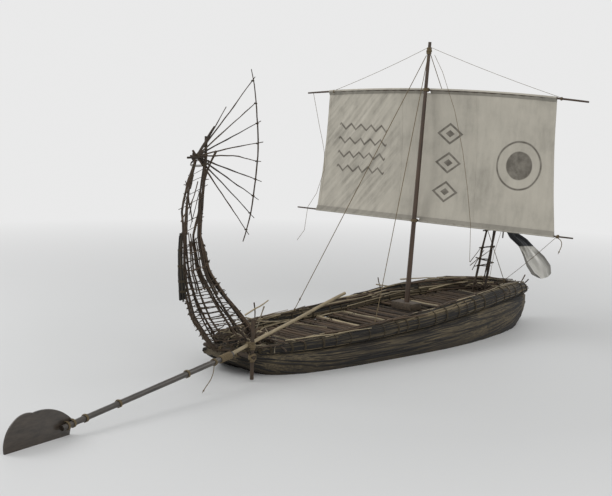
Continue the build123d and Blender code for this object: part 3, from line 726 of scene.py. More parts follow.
def flag_material():
    """Wool bunting: light cloth, dark at the hoist, with a pale stripe in the fly and grey painted shade
    along the fly's upper edge and its lower fold.
    """
    material, tree, surface = start_material("Wool bunting")
    coordinates = add(tree, "TexCoord").outputs["UV"]
    split = add(tree, "SeparateXYZ", {"Vector": coordinates})
    hoist = add(tree, "ValToRGB", {"stops": HOIST_STRIPES, "Fac": split.outputs["X"]})
    fly = add(tree, "ValToRGB", {"stops": FLY_STRIPES_AND_FOLD_SHADE, "Fac": split.outputs["Y"]})
    edge = HOIST_STRIPES[-1][0]
    beyond = add(
        tree, "MapRange", {"From Min": edge, "From Max": edge + STRIPE_BLEND, "Value": split.outputs["X"]}
    )
    cloth = add(tree, "Mix", {"data_type": "RGBA", 0: beyond, 6: hoist, 7: fly})
    soil = fibre(tree, coordinates, (5.0, 9.0, 1.0), 4.0)
    wear_and_shade = add(tree, "MapRange", {"To Min": 0.82, "To Max": 1.12, "Value": soil})
    mixed = add(tree, "VectorMath", {"operation": "SCALE", 0: cloth.outputs[2], "Scale": wear_and_shade})
    weave = add(tree, "TexWave", {"Scale": 40.0, "Distortion": 1.0, "Vector": coordinates})
    bump = add(tree, "Bump", {"Strength": 0.2, "Distance": 0.0008, "Height": weave.outputs["Fac"]})
    fill(surface, {"Base Color": mixed, "Roughness": 0.85, "Sheen Weight": 0.2, "Normal": bump})
    return material


def finish(name):
    """The material of that name, made the first time that it is asked for."""
    scene = bpy.context.scene
    makers = {
        "Dried reed": lambda: reed_material(scene.reed_boat_reeds),
        "Packed reed": lambda: reed_material(scene.reed_boat_reeds, "Packed reed", (3, 70, 70), "Object"),
        "Branch with bark": lambda: bark_material(scene.reed_boat_timber),
        "Peeled branch": lambda: peeled_material(scene.reed_boat_timber),
        "Oiled spar": lambda: spar_material(scene.reed_boat_timber),
        "Soaked wood": lambda: wet_material(scene.reed_boat_timber),
        "Soaked board": lambda: plank_material(scene.reed_boat_timber),
        "Hewn block": block_material,
        "Hemp rope": lambda: rope_material(scene.reed_boat_rope),
        # The same hemp darkened to a third: painted shade, standing in for the shade the lashings lie in.
        "Rope in painted shade": lambda: rope_material(scene.reed_boat_rope, "Rope in painted shade", wear_and_shade=0.34),
        "Cotton canvas": lambda: canvas_material(scene.reed_boat_cloth),
        # Canvas darkened to 0.62 for the sleeves: painted shade of the double cloth, which lets less light
        # through.
        "Doubled canvas in painted shade": lambda: canvas_material(scene.reed_boat_cloth, "Doubled canvas in painted shade", 0.62),
        "Wool bunting": flag_material,
    }
    return bpy.data.materials.get(name) or makers[name]()


def cover(node, name):
    """Give a frame node its finish."""
    mesh = NODES[node].data
    mesh.materials.clear()
    mesh.materials.append(finish(name))


def lay(name, routes, material, *nodes, body="root", roundness=1):
    """Rods of one finish as a piece that rides on its body and stands for its nodes."""
    return dress(rods(name, routes, finish(material), roundness), body, SLOTS[material], *nodes)


def eased_copy(node, name, material, segments, sharp=30, flatten=False):
    """A copy of a frame node with its edges eased where they are sharper than an angle."""
    piece = NODES[node].copy()
    piece.data = piece.data.copy()
    bpy.context.collection.objects.link(piece)
    for key in list(piece.keys()):
        del piece[key]
    piece.parent = None
    piece.name = name
    only(piece)
    bpy.ops.object.mode_set(mode="EDIT")
    bpy.ops.mesh.select_all(action="SELECT")
    bpy.ops.mesh.remove_doubles(threshold=0.0002)
    if flatten:
        bpy.ops.mesh.dissolve_limited(angle_limit=radians(2))
    bpy.ops.object.mode_set(mode="OBJECT")
    bevel = piece.modifiers.new("eased", "BEVEL")
    bevel.width = 0.006
    bevel.segments = segments
    bevel.limit_method = "ANGLE"
    bevel.angle_limit = radians(sharp)
    bpy.ops.object.modifier_apply(modifier=bevel.name)
    bpy.ops.object.shade_smooth_by_angle(angle=radians(35))
    piece.data.materials.clear()
    piece.data.materials.append(finish(material))
    return piece


def cloth_piece(name, vertices, faces, places, thickness, finishes, doubled_in_shade=None):
    """A cloth mesh with its UV map in metres, given its thickness, in a second finish where the cloth lies
    double; the sail's second finish is its canvas darkened as painted shade.
    """
    mesh = bpy.data.meshes.new(name)
    mesh.from_pydata(vertices, [], faces)
    layer = mesh.uv_layers.new(name="UVMap")
    for loop in mesh.loops:
        layer.data[loop.index].uv = places[loop.vertex_index]
    for material in finishes:
        mesh.materials.append(finish(material))
    mesh.polygons.foreach_set("material_index", [int(double) for double in doubled_in_shade or [False] * len(faces)])
    piece = bpy.data.objects.new(name, mesh)
    bpy.context.collection.objects.link(piece)
    only(piece)
    bpy.ops.object.mode_set(mode="EDIT")
    bpy.ops.mesh.select_all(action="SELECT")
    bpy.ops.mesh.delete_loose()
    bpy.ops.object.mode_set(mode="OBJECT")
    solid = piece.modifiers.new("thickness", "SOLIDIFY")
    solid.thickness = thickness
    solid.offset = 0
    bpy.ops.object.modifier_apply(modifier=solid.name)
    bpy.ops.object.shade_smooth_by_angle(angle=radians(60))
    return piece


# Places worked out from the frame


def oar_frame():
    """Directions of the oar: out in plan, out along the inner pole, out along the loom, and up."""
    out = Vector((cos(radians(OAR_HEADING)), sin(radians(OAR_HEADING)), 0))
    pole = out * cos(radians(POLE_SLOPE)) - UP * sin(radians(POLE_SLOPE))
    loom = out * cos(radians(LOOM_SLOPE)) - UP * sin(radians(LOOM_SLOPE))
    loom_up = out * sin(radians(LOOM_SLOPE)) + UP * cos(radians(LOOM_SLOPE))
    return out, pole, loom, loom_up


def loom_radius(distance):
    """Radius of the tapered loom at a distance out from the kink."""
    return LOOM_RADIUS + (LOOM_TIP_RADIUS - LOOM_RADIUS) * (distance + LOOM_SOCKET) / LOOM_LENGTH


def rig_frame():
    """Directions of the rig: across to starboard, and ahead."""
    fore = Vector((MAST_UP.z, 0, -MAST_UP.x))
    port = Vector((0, 1, 0))
    angle = radians(BRACE_ANGLE)
    return fore * sin(angle) - port * cos(angle), fore * cos(angle) + port * sin(angle)


def rig_point(across, height, ahead=0.0):
    """Point in the sail's plane, or ahead of it."""
    side, fore = rig_frame()
    return RIG_DATUM + side * across + MAST_UP * height + fore * (RIG_AHEAD + ahead)


def mast_point(height):
    """Point on the mast's axis."""
    return RIG_DATUM + MAST_UP * height


def mast_radius(share):
    """Radius of the tapered mast at a share of its height."""
    return MAST_RADIUS + (MAST_TIP_RADIUS - MAST_RADIUS) * share


def arc_through(a, b, c):
    """Centre and radius of the circle through three points of a plane."""
    (ax, ay), (bx, by), (cx, cy) = a, b, c
    twice_area = 2 * (ax * (by - cy) + bx * (cy - ay) + cx * (ay - by))
    squares = [ax**2 + ay**2, bx**2 + by**2, cx**2 + cy**2]
    x = (squares[0] * (by - cy) + squares[1] * (cy - ay) + squares[2] * (ay - by)) / twice_area
    y = (squares[0] * (cx - bx) + squares[1] * (ax - cx) + squares[2] * (bx - ax)) / twice_area
    return x, y, sqrt((ax - x) ** 2 + (ay - y) ** 2)


def yard_height(across):
    """Height of the bowed yard's axis."""
    x, y, bend = arc_through(*YARD)
    return y + sqrt(bend**2 - (across - x) ** 2)


def hit(node, start, direction):
    """Where a line from start first meets a frame node, or None."""
    found, place, _, _ = NODES[node].ray_cast(Vector(start), Vector(direction))
    return place if found else None


def bundle_skin(node, stations, rows):
    """Points round a main bundle at each station, evenly spaced from keel to inner shoulder."""
    skin = []
    for x in stations:
        probe = hit(node, (x, 0.08, 3), (0, 0, -1))
        top = probe.z
        bottom = hit(node, (x, 0.08, -3), (0, 0, 1)).z
        middle = (top + bottom) / 2
        side = hit(node, (x, 3, middle), (0, -1, 0)).y
        centre = Vector((x, side / 2, middle))
        ring = []
        for index in range(91):
            angle = radians(-60 + 300 * index / 90)
            place = hit(node, centre, (0, sin(angle), -cos(angle)))
            if place is not None and place.y > 0.012:
                ring.append(place)
        total = run_length(ring)
        skin.append([along(ring, total * row / rows) for row in range(rows + 1)])
    return skin


def on_skin(skin, station, row, proud=0.0):
    """Point on a skin at a station and row, both of which may lie between two."""
    low_station = min(max(int(station), 0), len(skin) - 2)
    low_row = min(max(int(row), 0), len(skin[0]) - 2)
    s, r = station - low_station, row - low_row
    a, b = skin[low_station][low_row], skin[low_station + 1][low_row]
    c, d = skin[low_station][low_row + 1], skin[low_station + 1][low_row + 1]
    place = a.lerp(b, s).lerp(c.lerp(d, s), r)
    outward = (b - a).cross(c - a)
    return place + outward.normalized() * proud if outward.length > 1e-9 else place


def mirrored(points, side):
    """Points as they are for port, or mirrored for starboard."""
    return [Vector((p.x, side * p.y, p.z)) for p in points]


def gunwale_axis(x):
    """Port side point on the gunwale bundle's axis, and its radius."""
    top, radius = between(GUNWALE, x)
    low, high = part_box("gunwale_port")
    station = min(max(x, low.x + 0.003), high.x - 0.003)
    outer = hit("gunwale_port", (station, 3, top - radius), (0, -1, 0)).y
    return Vector((x, outer - radius, top - radius)), radius


# Operators


class REEDBOAT_OT_camera(bpy.types.Operator):
    """Set up the camera at the height and heading the boat is seen from"""

    bl_idname = "reedboat.camera"
    bl_label = "Camera"

    def execute(self, context):
        heading, pitch = radians(CAMERA_HEADING), radians(CAMERA_PITCH)
        away = Vector((sin(heading), cos(heading), 0))
        right = Vector((cos(heading), -sin(heading), 0))
        forward = away * cos(pitch) - UP * sin(pitch)
        upward = away * sin(pitch) + UP * cos(pitch)
        heel = Matrix.Rotation(radians(-HEEL), 3, "X")
        turn = Matrix((heel @ right, heel @ upward, heel @ -forward)).transposed()
        bpy.ops.object.camera_add(location=CAMERA_PLACE, rotation=turn.to_euler())
        camera = context.object
        camera.data.lens = CAMERA_LENS_MM
        camera.data.sensor_width = 36
        camera.data.clip_end = 3000
        context.scene.camera = camera
        return {"FINISHED"}


def free_rope(name, points, body, node):
    """A free rope end on one smooth curve, with the rope's lay on it."""
    curve = bpy.data.curves.new(name, "CURVE")
    curve.dimensions = "3D"
    curve.bevel_depth = CORD_RADIUS
    curve.bevel_resolution = 3
    curve.resolution_u = 8
    curve.use_fill_caps = True
    spline = curve.splines.new("NURBS")
    spline.points.add(len(points) - 1)
    for control, place in zip(spline.points, points):
        control.co = (*place, 1.0)
    spline.order_u = 3
    spline.use_endpoint_u = True
    piece = bpy.data.objects.new(name, curve)
    bpy.context.collection.objects.link(piece)
    length = spline.calc_length()
    settings = bpy.context.scene.reed_boat_rope
    curve.materials.append(rope_material(settings, f"Hemp rope, {name.replace('_', ' ')}", length))
    dress(piece, body, "rope", node)
    end_knot(name, points, body)
    return piece


def end_knot(name, points, body):
    """An overhand knot with a frayed tuft that keeps a rope's end from unlaying."""
    end, before = points[-1], points[-2]
    direction = (end - before).normalized()
    rope = CORD_RADIUS * 0.9
    routes = [
        turns(end - direction * 0.012, direction, CORD_RADIUS * 1.25, 1.6, 0.010, rope),
        turns(end - direction * 0.010, direction.orthogonal(), CORD_RADIUS * 1.0, 1.0, 0.004, rope),
    ]
    rng = random.Random(len(name))
    for _ in range(9):
        spread = Vector([rng.uniform(-0.006, 0.006) for _ in range(3)])
        tip = end + direction * rng.uniform(0.012, 0.02) + spread
        routes.append(([end - direction * 0.004, tip], [0.0016, 0.0007], 0.6))
    return lay(f"{name}_knot", routes, "Hemp rope", body=body)


class REEDBOAT_OT_cords(bpy.types.Operator):
    """Hang the lanyard on the oar and the rope tail at the boom's end"""

    bl_idname = "reedboat.cords"
    bl_label = "Free rope ends"

    def execute(self, context):
        out, pole, loom, loom_up = oar_frame()
        hitch = OAR_EYE + pole * KINK + loom * LANYARD_AT
        drop = loom_radius(LANYARD_AT) + SEAT_GAP + 2 * CORD_RADIUS
        top = hitch - loom_up * drop
        route = [top + out * across + UP * rise for across, rise in LANYARD]
        free_rope("oar_lanyard", route, "oar", "lanyard")
        side, _ = rig_frame()
        tail_ring = BOOM_RADIUS + SEAT_GAP + CORD_RADIUS
        start = rig_point(TAIL_AT + CORD_RADIUS, BOOM[2])
        route = [start + side * across + MAST_UP * (rise - tail_ring) for across, rise in BOOM_TAIL]
        free_rope("boom_rope_end", route, "rig", "boom_tail")
        cover_rope("lanyard_hitch", "oar", hitch, loom, loom_radius(LANYARD_AT))
        cover_rope("tail_hitch", "rig", rig_point(TAIL_AT, BOOM[2]), side, BOOM_RADIUS)
        return {"FINISHED"}


def cover_rope(node, body, centre, axis, radius):
    """Rope turns in place of a hitch's plain ring; the ring stays as its core."""
    cover(node, "Hemp rope")
    rope = CORD_RADIUS * 0.95
    routes = [
        turns(centre, axis, radius + rope, 3.2, 2.1 * rope, rope),
        turns(centre, axis + axis.orthogonal() * 0.5, radius + 2.2 * rope, 1.2, rope, rope),
    ]
    return lay(f"{node}_turns", routes, "Hemp rope", body=body)


class REEDBOAT_OT_hull(bpy.types.Operator):
    """Lay the reeds of the two main bundles and bind them"""

    bl_idname = "reedboat.hull"
    bl_label = "Main bundles"

    def execute(self, context):
        settings = context.scene.reed_boat_reeds
        low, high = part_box("hull_bundle_port")
        steps, inset = 30, 0.004
        length = high.x - low.x - 2 * inset
        stations = [low.x + inset + length * index / steps for index in range(steps + 1)]
        skin = bundle_skin("hull_bundle_port", stations, settings.rows)
        pitch = (high.x - low.x) / steps
        for name, side in (("port", 1), ("starboard", -1)):
            rng = random.Random(11 + side)
            cover(f"hull_bundle_{name}", "Packed reed")
            routes = []
            for row in range(settings.rows):
                routes += self.reed_row(rng, skin, row + 0.5, side, pitch, settings)
            lay(f"hull_reeds_{name}", routes, "Dried reed")
            ropes = self.lashings(rng, skin, side, low.x, high.x, settings)
            lay(f"hull_lashings_{name}", ropes, "Rope in painted shade")
        return {"FINISHED"}

    def reed_row(self, rng, skin, row, side, pitch, settings):
        """One row of reeds laid end to end along the bundle."""
        routes = []
        last = len(skin) - 1
        place = rng.uniform(-0.15, 0.5)
        stop = last + rng.uniform(-0.5, 0.15)
        while place < stop - 1.5:
            length = rng.uniform(0.9, 2.5) / pitch
            finish_at = min(place + length, stop)
            count = max(4, int((finish_at - place) / 1.5))
            radius = settings.width / 2 * rng.uniform(0.6, 1.2)
            proud = radius * rng.uniform(-0.2, 1.1)
            raised = 0.03 if rng.random() < 0.06 else 0.004
            lean = rng.uniform(-0.9, 0.9)
            points, radii = [], []
            for share in shares(count):
                station = place + (finish_at - place) * share
                lift = proud + raised * (2 * share - 1) ** 6
                sway = 0.25 * sin(9 * share + 7 * lean)
                points.append(on_skin(skin, station, row + lean * (share - 0.5) + sway, lift))
                radii.append(radius * (1.0 - 0.35 * abs(2 * share - 1) ** 3))
            # Most reeds take a near black tone as painted shade of the hull's side; the few pale ones are
            # painted highlights.
            tone = rng.uniform(0.5, 0.9) if rng.random() < 0.09 else rng.uniform(0.0, 0.3)
            routes.append((mirrored(points, side), radii, tone))
            place = finish_at - rng.uniform(0.2, 0.8)
        return routes

    def lashings(self, rng, skin, side, low, high, settings):
        """Double rope turns round the bundle, each a little askew."""
        routes = []
        last = len(skin) - 1
        count = int((high - low) / settings.lashing_pitch)
        rows = len(skin[0]) - 1
        for index in range(count):
            station = (index + 0.7) / count * last
            slant = rng.uniform(-0.35, 0.35)
            for twin in (-1, 1):
                points = []
                for share in shares(40):
                    at = station + slant * (share - 0.5) + twin * settings.rope * 1.05 * last / (high - low)
                    lift = settings.width * 0.62 + settings.rope * 0.4 + 0.002 * sin(19 * share + twin)
                    points.append(on_skin(skin, at, rows * share, lift))
                routes.append((mirrored(points, side), [settings.rope] * 41, rng.random()))
        return routes


class REEDBOAT_OT_gunwales(bpy.types.Operator):
    """Lay the reeds of the gunwale bundles, their lashings and the loose rail sticks"""

    bl_idname = "reedboat.gunwales"
    bl_label = "Gunwales and rails"

    def execute(self, context):
        settings = context.scene.reed_boat_reeds
        timber = context.scene.reed_boat_timber
        low, high = GUNWALE[0][0], GUNWALE[-1][0]
        steps = 44
        axis = []
        for index in range(steps + 1):
            axis.append(gunwale_axis(low + (high - low) * index / steps))
        for name, side in (("port", 1), ("starboard", -1)):
            rng = random.Random(23 + side)
            cover(f"gunwale_{name}", "Packed reed")
            routes = self.reeds(rng, axis, side, settings)
            lay(f"gunwale_reeds_{name}", routes, "Dried reed")
            routes = self.bands(rng, axis, side, settings)
            lay(f"gunwale_lashing_{name}", routes, "Rope in painted shade")
            bark, pale = self.rails(rng, axis, side, timber)
            lay(f"rail_sticks_{name}", pale, "Peeled branch", f"rail_{name}")
            lay(f"rail_branches_{name}", bark, "Branch with bark")
        return {"FINISHED"}

    def point(self, axis, station, angle, reach, side):
        """Point round the bundle: angle from straight up, turning outboard."""
        station = min(max(station, 0), len(axis) - 1.001)
        low = int(station)
        (a, first), (b, second) = axis[low], axis[low + 1]
        centre = a.lerp(b, station - low)
        radius = first + (second - first) * (station - low)
        place = centre + Vector((0, sin(angle), cos(angle))) * (radius + reach)
        return Vector((place.x, side * place.y, place.z))

    def reeds(self, rng, axis, side, settings):
        """Reeds round the bundle, laid end to end with a slow twist."""
        routes = []
        last = len(axis) - 1
        rows = 25
        for row in range(rows):
            station = rng.uniform(-0.3, 0.8)
            while station < last - 2:
                length = rng.uniform(7, 15)
                stop = min(station + length, last + rng.uniform(-0.2, 0.3))
                radius = settings.width / 2 * rng.uniform(0.6, 1.05)
                twist = rng.uniform(-0.25, 0.25)
                points, radii = [], []
                for share in shares(8):
                    at = station + (stop - station) * share
                    angle = 2 * pi * (row + 0.2 * sin(5 * share + row)) / rows + twist * share
                    place = self.point(axis, at, angle, radius * rng.uniform(-0.3, 0.25), side)
                    beyond = at - min(max(at, 0), last)
                    place.x += beyond * (axis[1][0].x - axis[0][0].x)
                    points.append(place)
                    radii.append(radius * (1 - 0.3 * abs(2 * share - 1) ** 3))
                routes.append((points, radii, rng.random() ** 2.6))
                station = stop - rng.uniform(0.5, 2.5)
        return routes

    def bands(self, rng, axis, side, settings):
        """Bands of one to three rope turns round the bundle, at odd distances and slants."""
        last = len(axis) - 1
        step = axis[1][0].x - axis[0][0].x
        routes = []
        place = 0.6
        while place < last - 0.5:
            slant = rng.uniform(-0.4, 0.4)
            for turn in range(rng.randint(1, 3)):
                points = []
                for index in range(19):
                    angle = 2 * pi * index / 18
                    at = place + turn * 0.010 / step + slant * sin(angle) * 0.2
                    points.append(self.point(axis, at, angle, 0.52 * settings.width, side))
                routes.append((points, [0.0045] * len(points), rng.random()))
            place += rng.uniform(0.16, 0.34) / step
        return routes

    def rails(self, rng, axis, side, timber):
        """Loose sticks along the gunwale's top and inner side, some peeled and some not."""
        bark, pale = [], []
        last = len(axis) - 1
        for _ in range(48):
            start = rng.uniform(0.5, last - 5)
            stop = min(start + rng.uniform(3, 11), last - 0.6)
            angle = rng.uniform(-1.9, 0.15)
            radius = rng.uniform(0.006, 0.014)
            lean = rng.uniform(-0.6, 0.6)
            points = []
            for share in shares(3):
                reach = radius + rng.uniform(0.010, 0.034)
                points.append(
                    self.point(axis, start + (stop - start) * share, angle + lean * share, reach, side)
                )
            fore = start > last * 0.55
            peeled = rng.random() < (0.62 if fore else 0.3)
            target = pale if peeled else bark
            target.append(branch(rng, points, radius, radius * 0.6, timber.crook * 0.7, rng.random()))
        return bark, pale


class REEDBOAT_OT_decks(bpy.types.Operator):
    """Lay the three decks of crooked cross sticks on their bearers, with their lashings"""

    bl_idname = "reedboat.decks"
    bl_label = "Decks"

    stick_radius = 0.022
    pitch = 0.096

    def execute(self, context):
        timber = context.scene.reed_boat_timber
        for number, name in enumerate(("deck_aft", "deck_mid", "deck_fore")):
            rng = random.Random(40 + number)
            low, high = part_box(name)
            bark, pale, ropes = [], [], []
            count = int((high.x - low.x - 2 * self.stick_radius) / self.pitch)
            tops = []
            for index in range(count + 1):
                x = low.x + 2 * self.stick_radius + index * self.pitch
                place = hit(name, (x, 0.02, 3), (0, 0, -1))
                if place is None:
                    continue
                reach = self.reach(name, x)
                tops.append((x, place.z))
                routes = self.cross_sticks(rng, x, place.z, reach, timber)
                bark += routes[0]
                pale += routes[1]
            for side in (-1, 1):
                line = []
                for x, top in tops:
                    y = side * self.bearer_line(x)
                    line.append(Vector((x, y, top - 0.062)))
                    ropes += cross_lashing(
                        Vector((x, y, top - 0.04)), Vector((1, 0, 0)), Vector((0, 1, 0)), 0.036, 0.004,
                        rng.random(),
                    )
                first, last = line[0] - Vector((0.06, 0, 0)), line[-1] + Vector((0.06, 0, 0))
                bark.append(branch(rng, [first, *line, last], 0.02, 0.018, 0.003, 0.3))
            lay(f"{name}_branches", bark, "Branch with bark", name, roundness=2)
            lay(f"{name}_peeled", pale, "Peeled branch", roundness=2)
            lay(f"{name}_lashings", ropes, "Rope in painted shade")
        return {"FINISHED"}

    def reach(self, name, x):
        """Half length of the cross stick at x."""
        reach = 0.0
        for index in range(90):
            if hit(name, (x, index * 0.01, 3), (0, 0, -1)) is not None:
                reach = index * 0.01
        return reach

    def bearer_line(self, x):
        """Distance of the bearers from the centreline."""
        middle = 0.5 * (hit("hull_bundle_port", (x, 0.08, 3), (0, 0, -1)).z
                        + hit("hull_bundle_port", (x, 0.08, -3), (0, 0, 1)).z)
        return 0.45 * hit("hull_bundle_port", (x, 3, middle), (0, -1, 0)).y

    def cross_sticks(self, rng, x, top, reach, timber):
        """The cross stick at x and a thinner one beside it."""
        bark, pale = [], []
        for offset, radius in (
            (0.0, self.stick_radius * rng.uniform(0.8, 1.0)), (0.045, rng.uniform(0.009, 0.016))
        ):
            ends = [reach + rng.uniform(-0.05, 0.012) for _ in range(2)]
            height = top - 2 * self.stick_radius + radius + 0.002
            skew = rng.uniform(-0.012, 0.012)
            points = [
                Vector((x + offset - skew, -ends[0], height)),
                Vector((x + offset + skew, ends[1], height)),
            ]
            if rng.random() < 0.5:
                points.reverse()
            target = pale if rng.random() < 0.16 else bark
            target.append(branch(rng, points, radius, radius * 0.75, timber.crook * 0.45, rng.random()))
        return bark, pale


def trunk_point(row, angle, share=0.0, grow=0.0):
    """Point round the trunk's section by the angle from its fore edge, part way to the next row."""
    def on_row(number):
        aft_x, aft_z, fore_x, fore_z, half_width = TRUNK[number]
        centre = Vector(((aft_x + fore_x) / 2, 0, (aft_z + fore_z) / 2))
        reach = Vector(((fore_x - aft_x) / 2, 0, (fore_z - aft_z) / 2))
        reach += reach.normalized() * grow
        side = Vector((0, half_width + grow, 0))
        return centre + reach * cos(radians(angle)) + side * sin(radians(angle))

    if share:
        return on_row(row).lerp(on_row(row + 1), share)
    return on_row(row)


class REEDBOAT_OT_trunk(bpy.types.Operator):
    """Build the stern trunk from crooked poles, hoops, braces and lashings"""

    bl_idname = "reedboat.trunk"
    bl_label = "Stern trunk"

    # Hoops thicker than this are tied to the poles
    tied_from = 0.005
    # Points in one turn of the necklaces, and reeds in the two rings of the bundle on the aft side
    per_turn = 26
    outer_reeds, inner_reeds = 15, 11

    def execute(self, context):
        timber = context.scene.reed_boat_timber
        rng = random.Random(57)
        poles, hoops, ropes = [], [], []
        for angle, last, radius in TRUNK_POLES:
            points = [trunk_point(row, angle) for row in range(last + 1)]
            if angle == 0:
                points.append(Vector(FORE_POLE_TOP))
            if angle == 45:
                points += [Vector(point) for point in TRUNK_HORN]
            poles.append(
                branch(rng, points, radius, radius * 0.8, timber.crook * 0.6, rng.random(), 0.13, 0.3)
            )
            poles += self.companions(rng, angle, last, radius, timber)
            poles += self.stubs(rng, points, radius)
        for row, share in LOWER_HOOPS:
            made, tied = self.hoop(rng, row, share, [a for a, _, _ in TRUNK_POLES], 0.0065, 0.16, timber)
            hoops += made
            ropes += tied
        for row, share in UPPER_HOOPS:
            made, tied = self.hoop(rng, row, share, [0, 90, 180, 270], 0.0042, 0.34, timber)
            hoops += made
            ropes += tied
        hoops += self.braces(rng, timber)
        ropes += self.necklace(rng)
        lay("trunk_poles", poles, "Branch with bark", "stern_trunk", roundness=2)
        lay("trunk_hoops", hoops, "Branch with bark")
        lay("trunk_lashings", ropes, "Rope in painted shade")
        self.tail(rng)
        return {"FINISHED"}

    def companions(self, rng, angle, last, radius, timber):
        """A thinner pole lashed beside a trunk pole for part of its length."""
        routes = []
        for first, stop in ((0, 5), (3, last)):
            if rng.random() < 0.25 or stop - first < 2:
                continue
            turn = angle + rng.choice((-1, 1)) * rng.uniform(7, 16)
            points = [trunk_point(row, turn, 0.0, 0.004) for row in range(first, stop + 1)]
            tip = points[-1] + (points[-1] - points[-2]).normalized() * rng.uniform(0.02, 0.12)
            made = branch(
                rng, [*points, tip], radius * 0.75, radius * 0.45, timber.crook, rng.random(), 0.13, 0.2
            )
            routes.append(made)
        return routes

    def stubs(self, rng, points, radius):
        """Short snags where twigs were cut off."""
        routes = []
        total = run_length(points)
        for _ in range(int(total / 0.22)):
            distance = rng.uniform(0.05, total - 0.1)
            start = along(points, distance)
            run = (along(points, min(distance + 0.05, total)) - start).normalized()
            side = Vector([rng.uniform(-1, 1) for _ in range(3)]).cross(run).normalized()
            tip = start + side * rng.uniform(0.022, 0.05) + run * rng.uniform(0.0, 0.035)
            routes.append(([start, tip], [radius * 0.45, radius * 0.22], rng.random()))
        return routes

    def hoop(self, rng, row, share, angles, thickness, slope, timber):
        """One slanting hoop of short sticks, tied where it crosses the poles."""
        hoops, ropes = [], []
        tilt = slope * rng.uniform(0.5, 1.3)
        corners = []
        for angle in angles:
            at = share + tilt * cos(radians(angle))
            step = 1 if at > 1 else (-1 if at < 0 and row else 0)
            corners.append(trunk_point(row + step, angle, min(max(at - step, 0.0), 0.99), 0.012))
        radius = thickness * rng.uniform(0.85, 1.2)
        for corner, following in zip(corners, corners[1:] + corners[:1]):
            run = following - corner
            over = run.normalized() * rng.uniform(0.012, 0.06)
            back = run.normalized() * rng.uniform(0.012, 0.05)
            hoops.append(
                branch(rng, [corner - back, following + over], radius, radius * 0.75, timber.crook * 0.6,
                       rng.random(), 0.09)
            )
            if thickness > self.tied_from and rng.random() < 0.7:
                count = rng.choice((1.5, 2, 3))
                ropes.append(turns(corner, UP, 0.016, count, 0.0075, 0.0034, rng.random(), rng.random()))
            if thickness > self.tied_from and rng.random() < 0.3:
                tip = corner + Vector([rng.uniform(-0.03, 0.03), rng.uniform(-0.03, 0.03), -0.035])
                ropes.append(([corner + (tip - corner) * 0.4, tip], [0.003, 0.002], 0.5))
        return hoops, ropes

    def braces(self, rng, timber):
        """Slanting sticks across the trunk's head, neck and waist, and the knob where two cross."""
        routes = []
        for (start_x, start_z), (stop_x, stop_z), radius in CROSS_STICKS:
            ends = [Vector((start_x, -0.06, start_z)), Vector((stop_x, 0.02, stop_z))]
            routes.append(branch(rng, ends, radius, radius * 0.7, timber.crook * 0.6, rng.random(), 0.1))
        knob = Vector((*CROSS_STICKS[0][0], 0)).xzy
        ends = [knob + Vector((-0.012, -0.06, 0.01)), knob + Vector((0.012, -0.05, -0.01))]
        routes.append((ends, [0.021, 0.018], 0.3))
        return routes

    def necklace(self, rng):
        """Rope turns that draw the poles together at the neck and the head."""
        routes = []
        for row, share, count in ((4, 0.55, 2), (7, 0.9, 3)):
            points = []
            steps = self.per_turn * count
            for index in range(steps + 1):
                angle = 360 * index / self.per_turn
                at = share + 0.035 * (index / steps - 0.5) * count + 0.12 * sin(radians(angle + 60))
                points.append(trunk_point(row, angle, min(max(at, 0.0), 0.999), 0.022 + 0.003 * rng.random()))
            routes.append((points, [0.0036] * len(points), rng.random()))
        return routes

    def tail(self, rng):
        """The reed bundle lashed to the trunk's aft side."""
        reeds, ropes = [], []
        for index in range(self.outer_reeds + self.inner_reeds):
            outer = index < self.outer_reeds
            ring_share = 1.0 if outer else 0.5
            angle = 2 * pi * index / (self.outer_reeds if outer else self.inner_reeds)
            points, radii = [], []
            top_cut = rng.uniform(-0.10, 0.02)
            low_cut = rng.uniform(-0.10, 0.03)
            for (x, z, radius), number in zip(TAIL_REEDS, range(4)):
                stretch = top_cut if number == 0 else (low_cut if number == 3 else 0.0)
                reach = (radius - 0.008) * ring_share
                sway = 0.2 * sin(number + index)
                points.append(Vector((x + reach * cos(angle + sway), reach * sin(angle + sway), z + stretch)))
                radii.append(0.010 * rng.uniform(0.8, 1.15))
            reeds.append((points, radii, 0.45 * rng.random() ** 1.5))
        for z in (1.55, 1.36, 1.18, 1.06):
            x, radius = between([(low[1], low[0], low[2]) for low in reversed(TAIL_REEDS)], z)
            ropes.append(turns(Vector((x, 0, z)), UP, radius + 0.004, 3, 0.009, 0.0042, rng.random()))
        lay("tail_bundle", reeds, "Dried reed", "tail_reeds")
        lay("tail_lashings", ropes, "Rope in painted shade")


